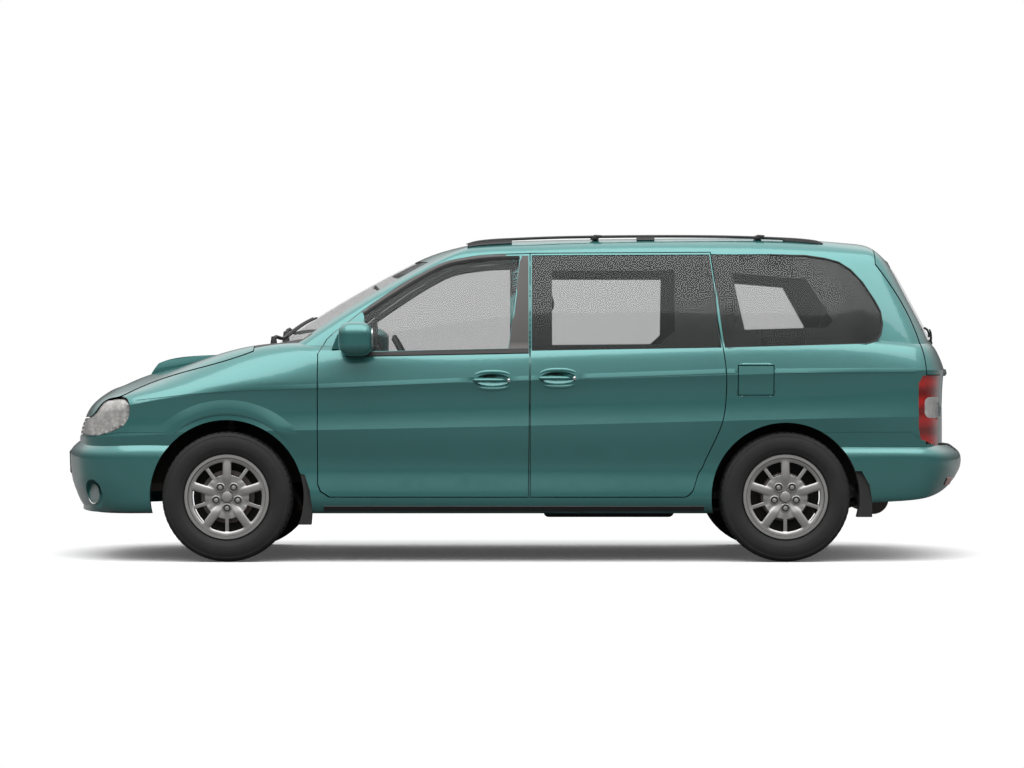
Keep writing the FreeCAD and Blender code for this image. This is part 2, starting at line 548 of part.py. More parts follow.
# Bonnet with its raised intake
scoop_half = 235.0
scoop_wall = 14.0
SCOOP_SHARES = ((-1.945, 0.990), (-1.937, 1.040), (-1.899, 1.055), (-1.746, 1.080), (-1.620, 1.086), (-1.480, 1.090))
SCOOP_MOUTH_SHARES = ((-2.000, 0.960), (-2.000, 1.043), (-1.890, 1.043), (-1.800, 1.058), (-1.800, 0.960))
scoop_top = side_prism(SCOOP_SHARES, -scoop_half, 0, 0.0, ((1, 5),))
scoop_mouth = side_prism(SCOOP_MOUTH_SHARES, scoop_wall - scoop_half, 0)
scoop = scoop_top.cut([scoop_mouth, hull_inside])
bonnet = joined([near_shell.common(bonnet_region), scoop])

# Front door with its hinge arms, window and mirror
front_door = near_shell.common(front_door_region).cut([door_glass_region, door_edge_relief])
front_door_pane = door_glass_region.common(pane_outside).cut(pane_inside)
hinge_heights = [share * grid_z for share in HINGE_HEIGHT_SHARES]


def standing(x, y, z, radius, length):
    """An upright cylinder."""
    return Part.makeCylinder(radius, length, Vector(x, y, z))


door_hinges = []
body_hinges = []
pin_holes = []
hinge_arm = 16.0
hinge_pad = 46.0
hinge_leaf = 10.0
hinge_throw = 26.0
for height in hinge_heights:
    for low in (height - hinge_barrel_length, height + hinge_barrel_length):
        door_hinges.append(standing(hinge_x, hinge_y, low, hinge_barrel_radius, hinge_barrel_length - hinge_fit))
        high = low + hinge_barrel_length - hinge_fit
        door_hinges.append(box(
            hinge_x - hinge_leaf / 2, hinge_x + hinge_leaf / 2, hinge_y, hinge_y + hinge_throw + hinge_leaf, low, high))
        door_hinges.append(box(
            hinge_x - hinge_leaf / 2, door_edge_x + hinge_pad, hinge_y + hinge_throw, hinge_y + hinge_throw + hinge_leaf,
            low, high))
    body_hinges.append(standing(
        hinge_x, hinge_y, height, hinge_barrel_radius, hinge_barrel_length - hinge_fit))
    body_hinges.append(box(
        door_edge_x - hinge_pocket - hinge_arm, hinge_x, hinge_y, hinge_y + hinge_barrel_radius,
        height, height + hinge_barrel_length - hinge_fit))
    pin_holes.append(standing(
        hinge_x, hinge_y, height - hinge_barrel_length, hinge_pin_radius + hinge_fit, hinge_barrel_length * 3))
    body_hinges.append(standing(
        hinge_x, hinge_y, height - hinge_barrel_length, hinge_pin_radius, hinge_barrel_length * 3 - hinge_fit))
front_door = joined([front_door] + [leaf.cut(pin_holes) for leaf in door_hinges])

# Finger recesses behind the door handles
handle_half_length, handle_half_height, handle_depth = 92.0, 38.0, 32.0
front_handle = at(-0.120, 0.945, -half_width)
sliding_handle = at(0.221, 0.956, -half_width)


def finger_recess(place):
    """The oval hollow cut into a door around one place on its skin."""
    squash = FreeCAD.Matrix()
    squash.scale(1, handle_depth / handle_half_length, handle_half_height / handle_half_length)
    return moved(Part.makeSphere(handle_half_length).transformGeometry(squash), place.x, place.y, place.z)


front_door = front_door.cut(finger_recess(front_handle))

# Mirror: a housing on the window's front corner
mirror_x, mirror_z = -828.0, 1161.0
mirror_length, mirror_reach, mirror_height = 180.0, 215.0, 178.0
mirror_round = 64.0
mirror_sail = 32.0
mirror_base_half = 60.0
MIRROR_SAIL_SHARES = ((-0.960, 1.110), (-0.800, 1.110), (-0.805, 1.200), (-0.830, 1.250), (-0.930, 1.185))
mirror_root = 860.0
mirror = box(
    mirror_x - mirror_length / 2, mirror_x + mirror_length / 2, -mirror_root - mirror_reach, -mirror_root,
    mirror_z - mirror_height / 2, mirror_z + mirror_height / 2)
mirror = mirror.makeFillet(mirror_round, mirror.Edges).cut(glasshouse)
sail = side_prism(MIRROR_SAIL_SHARES, -mirror_root - mirror_sail, panel_depth).cut(glasshouse)
mirror = joined([mirror, sail]).cut(body_outside)

# Sliding door and quarter panel with their bonded panes
sliding_door, sliding_pane = glazed(
    near_shell.common(sliding_door_region), sliding_pane_region, sliding_hole, pane_inside)
sliding_door = sliding_door.cut(finger_recess(sliding_handle))
seam_gap = 3.0
front_seam = moved(front_bumper_region, 0, 0, seam_gap).cut(skin_inside)
rear_seam = moved(rear_bumper_region, 0, 0, seam_gap).cut(skin_inside)
body_side = near_shell.cut(wing_region).cut(bonnet_cut).cut(cowl_region).cut(windscreen_region)
body_side = body_side.cut(roof_region).cut(tailgate_cut).cut(rear_bumper_region).cut(tailgate_sill)
behind_lamp = box(
    TAIL_LAMP_SHARES[0][0] * grid_x, ends_x[1], -tail_lamp_inner, 0, 0, TAIL_LAMP_SHARES[3][1] * grid_z)
body_side = body_side.cut([front_door_hole, sliding_door_hole, rear_arch, tail_lamp_region, behind_lamp])
body_side, quarter_pane = glazed(body_side.cut(rear_seam), quarter_pane_region, quarter_hole, pane_inside)
nose_middle = box(ends_x[0], front_axle_x, -lamp_half, 0, 0, BONNET_LINE_SHARES[5][1] * grid_z)
wing = near_shell.common(wing_region).cut([headlamp_region, above_lamp, front_bumper_region, front_arch, pocket])
wing = wing.cut([nose_middle, front_seam])
roof = near_shell.common(roof_region).cut([windscreen_region, front_door_hole, sliding_door_hole])
plate_half, plate_low, plate_high = 265.0, 845.0, 965.0
plate_floor_x = 2300.0
plate_recess = box(plate_floor_x, ends_x[1], -plate_half, 0, plate_low, plate_high)
tailgate = near_shell.common(tailgate_region).cut([tail_lamp_cut, below_lamp, tailgate_hole, plate_recess])
tailgate_pane = tailgate_hole.common(pane_outside).cut(screen_inside)
windscreen = windscreen_region.common(pane_outside).cut(screen_inside)
cowl = near_shell.common(cowl_region).cut(windscreen_region)
headlamp = near_shell.common(headlamp_region).cut(front_bumper_region)
tail_lamp = near_shell.common(tail_lamp_region).cut(rear_bumper_region)

# Pillar between the doors, standing inside them
pillar_front, pillar_back = -30.0, 150.0
pillar_depth = 55.0
sill_bottom = HULL_SHARES[0][6][0][1] * grid_z
pillar_space = body_inside.common(box(pillar_front, pillar_back, near_edge, panel_depth, sill_bottom, roof_height))
inside_doors = moved(body_inside, 0, panel_gap, 0)
door_zone = box(
    pillar_front, pillar_back, near_edge, panel_depth,
    FRONT_DOOR_SHARES[4][1] * grid_z - panel_gap * 2, FRONT_DOOR_SHARES[6][1] * grid_z + panel_gap * 2)
pillar = pillar_space.cut(moved(body_inside, 0, pillar_depth, 0)).cut(door_zone.cut(inside_doors))
body_side = joined([body_side, pillar])

# Bumpers
bumper_shell = bumper_outside.fuse(hull).cut(bumper_inside.fuse(hull_inside)).common(near_half)
intake_half, intake_low = 330.0, 345.0
intake_slot, intake_pitch, intake_count = 24.0, 34.0, 3
intake = [box(
    ends_x[0], front_axle_x, -intake_half, 0, intake_low + intake_pitch * number,
    intake_low + intake_pitch * number + intake_slot) for number in range(intake_count)]
fog_radius, fog_depth, fog_turn = 76.0, 26.0, 52.0
fog_axis = Vector(-math.cos(math.radians(fog_turn)), -math.sin(math.radians(fog_turn)), 0)
fog_place = at(-2.210, 0.352, -0.775 * grid_y)
fog_recess = Part.makeCylinder(fog_radius, cut_overrun + fog_depth, fog_place - fog_axis * fog_depth, fog_axis)
front_bumper = bumper_shell.common(front_bumper_region).cut([front_arch, fog_recess] + intake)
TAIL_UNDER_SHARES = (
    (1.700, 0.150), (1.700, 0.306), (1.860, 0.310), (2.160, 0.337), (2.260, 0.372), (2.340, 0.430), (2.500, 0.560),
    (2.500, 0.150),
)
tail_under = side_prism(TAIL_UNDER_SHARES, near_edge, 0, 0.0, ((2, 6),))
rear_bumper = bumper_shell.common(rear_bumper_region).cut([rear_arch, tail_under, tailgate_cut])

# Grille: bars across the opening between the lamps
GRILLE_SHARES = ((-2.500, 0.730), (-2.200, 0.745), (-2.200, 0.655), (-2.500, 0.645))
grille_bar = 9.0
grille_pitch = 24.0
grille_recess = 10.0
grille = near_shell.common(side_prism(GRILLE_SHARES, -lamp_half, 0))
grille = grille.common(master(HULL_SHARES, HULL_CREASES, grille_recess))
slots = []
slot_bottom = GRILLE_SHARES[3][1] * grid_z + grille_bar
while slot_bottom + grille_pitch - grille_bar < GRILLE_SHARES[0][1] * grid_z:
    slots.append(box(
        ends_x[0], 0, grille_bar - lamp_half, 0, slot_bottom, slot_bottom + grille_pitch - grille_bar))
    slot_bottom += grille_pitch
grille = grille.cut(slots)


def both(shape):
    """The shape and its mirror image, as one compound."""
    return Part.makeCompound([shape, opposite(shape)])


def tube_y(x, z, y0, y1, outer_radius, inner_radius):
    """A ring across the vehicle."""
    return disc(x, y0, z, y1, outer_radius).cut(disc(x, y0, z, y1, inner_radius))


# Wheels. A wheel is built about the origin with its outer face towards -Y
rim_width = 176.0
rim_wall = 6.0
rim_flange = 10.0
rim_flange_width = 9.0
rim_face = 20.0
rim_face_inset = 12.0
tyre_bore = rim_radius - rim_flange
spoke_count = 5
spoke_half = 24.0
thin_spoke_half = 10.0
window_inner = 113.0
window_outer = 186.0
hub_radius = 66.0
hub_length = 60.0
spindle_radius = 17.0
spindle_fit = 0.3
disc_radius = 140.0
disc_thickness = 24.0
disc_offset = 14.0
drum_radius = 128.0
drum_length = 52.0
TYRE_SHARES = ((0.78, 0.0), (1.0, 0.52), (0.96, 0.80), (0.76, 1.0))


def revolved_y(points):
    """A ring turned about the Y axis from its (y, radius) section."""
    section = [Vector(0, y, radius) for y, radius in points]
    return Part.Face(Part.makePolygon(section + section[:1])).revolve(Vector(), Vector(0, 1, 0), 360)


def wheel_tyre():
    """The tyre: bead, bulging wall, shoulder and tread."""
    half = tyre_width / 2
    height = tyre_radius - tyre_bore
    side = [(half * wide, tyre_bore + height * high) for wide, high in TYRE_SHARES]
    return revolved_y(side + [(-y, radius) for y, radius in reversed(side)])


def wheel_rim():
    """The rim: a barrel with flanges and a spoked face."""
    half = rim_width / 2
    lip = half + rim_flange_width
    inner = tyre_bore - rim_wall
    barrel = revolved_y([
        (-lip, inner), (-lip, rim_radius), (-half, rim_radius), (-half, tyre_bore),
        (half, tyre_bore), (half, rim_radius), (lip, rim_radius), (lip, inner)])
    face_y = -half + rim_face_inset
    face = disc(0, face_y, 0, face_y + rim_face, inner)
    ring = tube_y(0, 0, face_y, face_y + rim_face, window_outer, window_inner)
    spokes = []
    for number in range(spoke_count * 2):
        spoke = spoke_half if number % 2 == 0 else thin_spoke_half
        bar = box(-spoke, spoke, face_y, face_y + rim_face, 0, window_outer)
        spokes.append(bar.rotate(Vector(), Vector(0, 1, 0), 180.0 / spoke_count * number))
    windows = ring.cut(spokes)
    hub_end = face_y + rim_face + hub_length
    hub = disc(0, face_y, 0, hub_end, hub_radius)
    bore = disc(0, face_y + rim_face_inset, 0, hub_end, spindle_radius + spindle_fit)
    return joined([barrel, face.cut(windows), hub]).cut(bore)


def brake_ring(radius, length):
    """A brake disc or drum seated against the inner end of the hub."""
    hub_start = -rim_width / 2 + rim_face_inset + rim_face
    start = hub_start + disc_offset
    return tube_y(0, 0, start, start + length, radius, hub_radius)


tyre = wheel_tyre()
rim = wheel_rim()
wheel_face_y = -track_half
front_place = (front_axle_x, wheel_face_y, axle_height)
rear_place = (rear_axle_x, wheel_face_y, axle_height)
brake_disc = brake_ring(disc_radius, disc_thickness)
brake_drum = brake_ring(drum_radius, drum_length)

# Front knuckle: an upright with a stub axle, turning between the lower arm and the strut foot
kingpin_y = -700.0
kingpin_radius = 11.0
kingpin_fit = 0.3
knuckle_half = 22.0
knuckle_low = axle_height - 118.0
knuckle_high = axle_height + 118.0
pivot_reach = 26.0
hub_inner_y = wheel_face_y - rim_width / 2 + rim_face_inset + rim_face + hub_length
spindle_tip = wheel_face_y - rim_width / 2 + rim_face_inset + rim_face
steer_arm_reach = 130.0
steer_arm_half = 14.0
caliper_height = 54.0


def knuckle_shape():
    """The near knuckle."""
    upright = box(
        front_axle_x - knuckle_half, front_axle_x + knuckle_half, kingpin_y - knuckle_half, kingpin_y + knuckle_half,
        knuckle_low, knuckle_high)
    spindle = disc(front_axle_x, spindle_tip + spindle_fit, axle_height, kingpin_y, spindle_radius)
    shoulder = disc(front_axle_x, hub_inner_y + spindle_fit, axle_height, kingpin_y, spindle_radius * 2)
    pivots = standing(
        front_axle_x, kingpin_y, knuckle_low - pivot_reach, kingpin_radius,
        knuckle_high - knuckle_low + pivot_reach * 2)
    arm = box(
        front_axle_x, front_axle_x + steer_arm_reach, kingpin_y - steer_arm_half, kingpin_y + steer_arm_half,
        knuckle_low, knuckle_low + steer_arm_half * 2)
    return joined([upright, spindle, shoulder, pivots, arm])


knuckle = knuckle_shape()

# Front subframe: a crossmember with a lower arm on each side, and the struts that hold the knuckles from above
arm_thickness = pivot_reach - 4.0
arm_half = 38.0
arm_low = knuckle_low - pivot_reach
arm_inner_y = -330.0
member_half = 110.0
member_height = 70.0
strut_y = -618.0
strut_radius = 26.0
spring_radius = 52.0
spring_wire = 13.0
spring_turns = 6
strut_top = 880.0
foot_thickness = pivot_reach - 4.0
boss_radius = 30.0
pivot_bore = kingpin_radius + kingpin_fit


def lower_arm():
    """The near lower arm with the bore that the knuckle's lower pivot turns in."""
    arm = box(front_axle_x - arm_half, front_axle_x + arm_half, kingpin_y, arm_inner_y, arm_low, arm_low + arm_thickness)
    boss = standing(front_axle_x, kingpin_y, arm_low, boss_radius, arm_thickness)
    bore = standing(front_axle_x, kingpin_y, arm_low, pivot_bore, arm_thickness)
    return arm.fuse(boss).cut(bore)


def strut():
    """The near strut: foot with the knuckle's upper pivot, tube and spring."""
    foot_low = knuckle_high + pivot_reach - foot_thickness
    foot = box(
        front_axle_x - boss_radius, front_axle_x + boss_radius, kingpin_y, strut_y, foot_low, foot_low + foot_thickness)
    boss = standing(front_axle_x, kingpin_y, foot_low, boss_radius, foot_thickness)
    bore = standing(front_axle_x, kingpin_y, foot_low, pivot_bore, foot_thickness)
    tube = standing(front_axle_x, strut_y, foot_low, strut_radius, strut_top - foot_low)
    parts = [foot.fuse(boss).cut(bore), tube]
    spring_low = foot_low + foot_thickness * 2
    pitch = (strut_top - spring_low) / (spring_turns + 1)
    for turn in range(spring_turns):
        parts.append(standing(front_axle_x, strut_y, spring_low + pitch * (turn + 0.5), spring_radius, spring_wire))
    return joined(parts)


front_member = box(
    front_axle_x - member_half, front_axle_x + member_half, arm_inner_y, -arm_inner_y, arm_low, arm_low + member_height)
front_subframe = joined([front_member, lower_arm(), opposite(lower_arm())])

# Floor pan with firewall, rails, wheelhouses and the sheets that the trim stands on
floor_bottom = 300.0
floor_thickness = 30.0
firewall_x = -1130.0
firewall_thickness = 30.0
firewall_top = 1060.0
rear_step_x = 1000.0
rear_floor_bottom = 430.0
rail_inner_y = 410.0
rail_outer_y = 480.0
rail_bottom = 400.0
rail_top = 520.0
rail_front_x = -2300.0
house_radius = 440.0
house_skin = 6.0
house_inner_y = -495.0
rear_house_radius = 420.0
rear_house_inner_y = -600.0
beam_depth = 60.0
rear_panel_x = 2215.0
rear_panel_top = 600.0
rear_rail_depth = 38.0
house_wall = 15.0
rear_beam_low, rear_beam_high = 440.0, 500.0
front_beam_low, front_beam_high = 420.0, 500.0
beam_half = 620.0
beam_overlap = 80.0
post_front, post_back = 1100.0, 1045.0
plenum_front, plenum_back = 1315.0, 1285.0
plenum_bottom = 1030.0
support_x = -2240.0
support_depth = 40.0
support_half = 400.0
support_top = 800.0
tower_radius = 85.0
track_low, track_high = 352.0, 372.0
track_front, track_back = 200.0, 850.0
track_depth = 60.0


# Hinges of the tailgate and of the bonnet: each axis lies beyond the lid's edge and inside the skin
lid_hinge_beyond = 38.0
lid_hinge_inside = 28.0
lid_pocket = 84.0
lid_relief = 16.0
lid_barrel_radius = 10.0
lid_pin_radius = 5.0
lid_barrel_length = 36.0
tailgate_throw, bonnet_throw = 34.0, 20.0
tailgate_leaf_reach, bonnet_leaf_reach = 80.0, 77.0
tailgate_rise, bonnet_rise = 4.0, 19.0
tailgate_hinge_y = 450.0
bonnet_hinge_y = 560.0
roof_skin_inside = master(GLASSHOUSE_SHARES, (), skin_thickness, skin_thickness)
hull_skin_inside = master(HULL_SHARES, HULL_CREASES, skin_thickness, skin_thickness)
tailgate_edge_x = TAILGATE_SHARES[0][0] * grid_x + panel_gap
tailgate_crown = 1671.0
tailgate_hinge_x = tailgate_edge_x - lid_hinge_beyond
tailgate_hinge_z = tailgate_crown - lid_hinge_inside
bonnet_edge_x = BONNET_TOP_SHARES[0][0] * grid_x - panel_gap
bonnet_crown = 1127.0
bonnet_hinge_x = bonnet_edge_x + lid_hinge_beyond
bonnet_hinge_z = bonnet_crown - lid_hinge_inside


def across(x0, x1, z0, z1, half=far_y):
    """A block across the vehicle, the same to both sides."""
    return box(x0, x1, -half, half, z0, z1)


def near_bar(x0, x1, z0, z1):
    """A stretch of the near rail."""
    return box(x0, x1, -rail_outer_y, -rail_inner_y, z0, z1)


floor_top = floor_bottom + floor_thickness
rear_floor_top = rear_floor_bottom + floor_thickness
near_pan = [
    across(firewall_x, rear_step_x, floor_bottom, floor_top),
    across(firewall_x, firewall_x + firewall_thickness, floor_bottom, firewall_top),
    across(rear_step_x, rear_step_x + floor_thickness, floor_bottom, rear_floor_top),
    across(rear_step_x, rear_panel_x + floor_thickness, rear_floor_bottom, rear_floor_top),
    across(rear_panel_x, rear_panel_x + floor_thickness, rear_floor_bottom, rear_panel_top),
    across(-plenum_front, firewall_x, plenum_bottom, firewall_top),
    across(support_x, support_x + support_depth, support_top - support_depth, support_top, support_half),
    box(support_x, support_x + support_depth, -rail_outer_y, -support_half, rail_bottom, support_top),
    near_bar(rail_front_x, firewall_x, rail_bottom, rail_top),
    near_bar(firewall_x, rear_step_x, floor_bottom - beam_depth, floor_bottom),
    near_bar(rear_step_x, rear_panel_x, rear_floor_bottom - rear_rail_depth, rear_floor_bottom),
    box(track_front, track_back, near_edge, -half_width + track_depth * 2, track_low, track_high),
    box(track_front, track_back, -half_width + track_depth * 2, -half_width + track_depth * 3, floor_top, track_high),
    tube_y(front_axle_x, axle_height, near_edge, house_inner_y, house_radius + house_skin, house_radius).cut(
        across(-far_y * 3, far_y * 3, 0, rail_bottom)),
    disc(front_axle_x, house_inner_y, axle_height, house_inner_y + house_wall, house_radius + house_skin).cut(
        across(-far_y * 3, far_y * 3, 0, rail_bottom)),
    tube_y(rear_axle_x, axle_height, near_edge, rear_house_inner_y, rear_house_radius + house_skin, rear_house_radius).cut(
        across(-far_y * 3, far_y * 3, 0, rear_floor_bottom)),
    disc(rear_axle_x, rear_house_inner_y, axle_height, rear_house_inner_y + house_wall, rear_house_radius + house_skin).cut(
        across(-far_y * 3, far_y * 3, 0, rear_floor_bottom)),
    standing(front_axle_x, strut_y, strut_top - tower_radius * 2, tower_radius, tower_radius * 2 + house_skin),
]
near_pan = [piece.common(near_half) for piece in near_pan]
a_post_space = hull_inside.common(box(-post_front, -post_back, near_edge, panel_depth, floor_bottom, firewall_top))
a_post = a_post_space.cut(moved(hull_inside, 0, pillar_depth, 0))
wheel_rooms = [
    disc(front_axle_x, near_edge, axle_height, house_inner_y, house_radius),
    disc(rear_axle_x, near_edge, axle_height, rear_house_inner_y, rear_house_radius),
    standing(front_axle_x, strut_y, strut_top - tower_radius * 3, tower_radius - house_skin, tower_radius * 3),
]
all_inside = body_inside.fuse(bumper_inside)
crash_beams = [
    box(ends_x[0], rail_front_x + beam_overlap, -beam_half, 0, front_beam_low, front_beam_high).common(all_inside),
    box(rear_panel_x, ends_x[1], -beam_half, 0, rear_beam_low, rear_beam_high).common(all_inside),
]
plenum = hull_inside.common(box(-plenum_front, -plenum_back, -cowl_half, 0, plenum_bottom, roof_height))
plenum = plenum.fuse(box(
    -plenum_front, bonnet_edge_x + lid_pocket, -bonnet_hinge_y - lid_barrel_length, lid_barrel_length - bonnet_hinge_y,
    plenum_bottom, bonnet_hinge_z))
near_floor = joined(near_pan).common(body_inside).cut(wheel_rooms)
near_floor = joined([near_floor, a_post, plenum] + crash_beams).cut(pillar)
floor_pan = joined([near_floor, opposite(near_floor)])

# Rear axle: a beam on trailing arms with a spindle at each end, and its springs
axle_tube_radius = 30.0
axle_half = 700.0
trailing_arm_y = 540.0
trailing_arm_half = 22.0
rear_spring_radius = 44.0
beam_shoulder = disc(rear_axle_x, hub_inner_y + spindle_fit, axle_height, -axle_half, spindle_radius * 2)
axle_tube = disc(rear_axle_x, -axle_half, axle_height, axle_half, axle_tube_radius)
rear_spindle = disc(rear_axle_x, spindle_tip + spindle_fit, axle_height, -axle_half, spindle_radius)
trailing_arm = box(
    rear_step_x + floor_thickness, rear_axle_x, -trailing_arm_y - trailing_arm_half,
    -trailing_arm_y + trailing_arm_half, axle_height - trailing_arm_half, axle_height + trailing_arm_half)
rear_spring = standing(
    rear_axle_x, -trailing_arm_y, axle_height, rear_spring_radius, rear_floor_bottom - axle_height)
near_axle = [beam_shoulder, rear_spindle, trailing_arm, rear_spring]
rear_axle = joined([axle_tube] + near_axle + [opposite(piece) for piece in near_axle])

# Subframe legs up to the rails
leg_width = 40.0
leg = box(
    front_axle_x - member_half, front_axle_x - member_half + leg_width, -rail_outer_y, arm_inner_y,
    arm_low + arm_thickness, rail_bottom)
front_subframe = joined([front_subframe, leg, opposite(leg)])

# Engine, radiator, exhaust and fuel tank
engine_front, engine_back = 2060.0, 1290.0
engine_half = 320.0
engine_bottom, engine_top = 350.0, 860.0
mount_width = 90.0
radiator_depth = 50.0
engine = across(-engine_front, -engine_back, engine_bottom, engine_top, engine_half)
engine_mount = across(
    (-engine_front - engine_back) / 2, (-engine_front - engine_back) / 2 + mount_width, rail_bottom, rail_top,
    rail_inner_y)
engine = joined([engine, engine_mount])
radiator = across(
    support_x + support_depth, support_x + support_depth + radiator_depth, rail_bottom, support_top, support_half)
pipe_radius = 25.0
pipe_y = 150.0
pipe_z = 235.0
pipe_start, pipe_end = 1200.0, 1750.0
muffler_radius = 85.0
muffler_length = 420.0
muffler_z = 300.0
hanger_half = 12.0


def pipe_run(points, radius):
    """A pipe along straight runs with round elbows."""
    parts = []
    for start, end in zip(points, points[1:]):
        parts.append(Part.makeCylinder(radius, (end - start).Length, start, end - start))
        parts.append(Part.makeSphere(radius, end))
    return joined(parts)


pipe = pipe_run([
    Vector(-engine_back, pipe_y, rail_bottom), Vector(-pipe_start - pipe_radius * 2, pipe_y, rail_bottom),
    Vector(-pipe_start + pipe_radius / 2, pipe_y, pipe_z),
    Vector(pipe_end, pipe_y, pipe_z), Vector(pipe_end + muffler_length / 2, pipe_y, muffler_z),
], pipe_radius)
muffler = disc(pipe_end + muffler_length / 2, pipe_y - muffler_length / 2, muffler_z, pipe_y + muffler_length, muffler_radius)
hanger = box(
    pipe_end + muffler_length / 2 - hanger_half, pipe_end + muffler_length / 2 + hanger_half,
    pipe_y - hanger_half, pipe_y + hanger_half, muffler_z, rear_floor_bottom)
front_hanger = box(-hanger_half, hanger_half, pipe_y - hanger_half, pipe_y + hanger_half, pipe_z, floor_bottom)
exhaust = joined([pipe, muffler, hanger, front_hanger])
tank_front, tank_back = 150.0, 850.0
tank_near, tank_far = 400.0, -90.0
tank_bottom = 212.0
tank_round = 30.0
fuel_tank = box(tank_front, tank_back, -tank_near, tank_far, tank_bottom, floor_bottom)
fuel_tank = fuel_tank.makeFillet(tank_round, [e for e in fuel_tank.Edges if e.BoundBox.ZMax < floor_bottom])


def lid_hinge(axis_x, axis_z, middle_y, fixed_reach, lid_reach, lid_throw, lid_rise):
    """One hinge across the vehicle: the fixed leaf with its pin, then the lid's two leaves."""
    half = lid_barrel_length / 2
    toward = 1 if lid_reach > 0 else -1
    pin = disc(axis_x, middle_y - half * 3, axis_z, middle_y + half * 3, lid_pin_radius)
    hole = disc(axis_x, middle_y - half * 3, axis_z, middle_y + half * 3, lid_pin_radius + hinge_fit)
    leaf_low = axis_z - lid_barrel_radius
    fixed_x = sorted((axis_x, axis_x - toward * fixed_reach))
    fixed = joined([
        disc(axis_x, middle_y - half + hinge_fit, axis_z, middle_y + half - hinge_fit, lid_barrel_radius),
        box(fixed_x[0], fixed_x[1], middle_y - half + hinge_fit, middle_y + half - hinge_fit, leaf_low, axis_z),
        pin,
    ])
    lid_x = sorted((axis_x - toward * hinge_leaf / 2, axis_x + lid_reach))
    riser_x = sorted((axis_x + lid_reach - toward * hinge_leaf, axis_x + lid_reach))
    leaves = []
    for start in (middle_y - half * 3, middle_y + half):
        end = start + lid_barrel_length
        barrel = disc(axis_x, start, axis_z, end, lid_barrel_radius)
        neck = box(
            axis_x - hinge_leaf / 2, axis_x + hinge_leaf / 2, start, end, axis_z - lid_throw - hinge_leaf, axis_z)
        plate = box(lid_x[0], lid_x[1], start, end, axis_z - lid_throw - hinge_leaf, axis_z - lid_throw)
        riser = box(
            riser_x[0], riser_x[1], start, end, axis_z - lid_throw - hinge_leaf, axis_z - lid_throw + lid_rise)
        leaves.append(joined([barrel, neck, plate, riser]).cut(hole))
    return fixed, leaves


roof_pocket = roof_skin_inside.common(across(
    tailgate_edge_x - lid_pocket, tailgate_edge_x, tailgate_crown - lid_pocket, roof_height))
tailgate_relief = roof_skin_inside.common(across(
    tailgate_edge_x, tailgate_edge_x + lid_relief, tailgate_crown - lid_pocket, roof_height))
cowl_pocket = hull_skin_inside.common(across(
    bonnet_edge_x, bonnet_edge_x + lid_pocket, bonnet_crown - lid_pocket * 2, roof_height))
bonnet_relief = hull_skin_inside.common(across(
    bonnet_edge_x - lid_relief, bonnet_edge_x, bonnet_crown - lid_pocket * 2, roof_height))
tailgate_fixed, tailgate_leaves = lid_hinge(
    tailgate_hinge_x, tailgate_hinge_z, -tailgate_hinge_y, lid_pocket - lid_hinge_beyond + lid_relief,
    tailgate_leaf_reach, tailgate_throw, tailgate_rise)
bonnet_fixed, bonnet_leaves = lid_hinge(
    bonnet_hinge_x, bonnet_hinge_z, -bonnet_hinge_y, lid_pocket - lid_hinge_beyond - lid_relief,
    -bonnet_leaf_reach, bonnet_throw, bonnet_rise)
roof = joined([roof.cut(roof_pocket), tailgate_fixed])
body_side = body_side.cut(roof_pocket)
tailgate = joined([tailgate.cut(tailgate_relief)] + tailgate_leaves)
bonnet = joined([bonnet.cut(bonnet_relief)] + bonnet_leaves)
cowl = cowl.cut(cowl_pocket)
wing = wing.cut(across(
    bonnet_edge_x - lid_relief * 3, bonnet_edge_x + lid_pocket, bonnet_crown - lid_pocket * 2, roof_height, cowl_half))
wing = joined([wing] + body_hinges)
floor_pan = joined([floor_pan, bonnet_fixed, opposite(bonnet_fixed)])

# Fuel flap on the near quarter: a goose-neck arm behind its front edge turns on a pin in the well
FLAP_SHARES = ((1.156, 0.870), (1.156, 1.024), (1.342, 1.024), (1.342, 0.870))
flap_thickness = 3.0
flap_well_depth = 66.0
flap_hinge_ahead = 31.0
flap_hinge_inside = 25.0
flap_pocket = 48.0
flap_barrel_radius = 8.0
flap_pin_radius = 4.0
flap_barrel_half = 30.0
flap_arm = 30.0
flap_arm_thickness = 5.0
flap_throw = 32.0
flap_inside = master(HULL_SHARES, HULL_CREASES, flap_thickness)
flap_well_back = master(HULL_SHARES, HULL_CREASES, flap_well_depth)
flap_region = side_prism(FLAP_SHARES, near_edge, panel_depth, -panel_gap / 2)
flap_hole = side_prism(FLAP_SHARES, near_edge, panel_depth, panel_gap / 2)
flap_front_x = FLAP_SHARES[0][0] * grid_x + panel_gap / 2
flap_low_z, flap_high_z = FLAP_SHARES[0][1] * grid_z, FLAP_SHARES[1][1] * grid_z
flap_mid_z = (flap_low_z + flap_high_z) / 2
flap_hinge_x = flap_front_x - flap_hinge_ahead
flap_hinge_y = flap_hinge_inside - half_width
flap_space = skin_inside.common(box(
    flap_front_x - flap_pocket, flap_front_x, near_edge, panel_depth, flap_low_z, flap_high_z))
flap_pin = standing(flap_hinge_x, flap_hinge_y, flap_low_z, flap_pin_radius, flap_high_z - flap_low_z)
flap_inner_y = flap_hinge_y + flap_throw + flap_arm_thickness
flap_neck = box(
    flap_hinge_x - flap_arm_thickness / 2, flap_hinge_x + flap_arm_thickness / 2, flap_hinge_y, flap_inner_y,
    flap_mid_z - flap_barrel_half, flap_mid_z + flap_barrel_half)
flap_link = box(
    flap_hinge_x - flap_arm_thickness / 2, flap_front_x + flap_arm, flap_hinge_y + flap_throw, flap_inner_y,
    flap_mid_z - flap_barrel_half, flap_mid_z + flap_barrel_half)
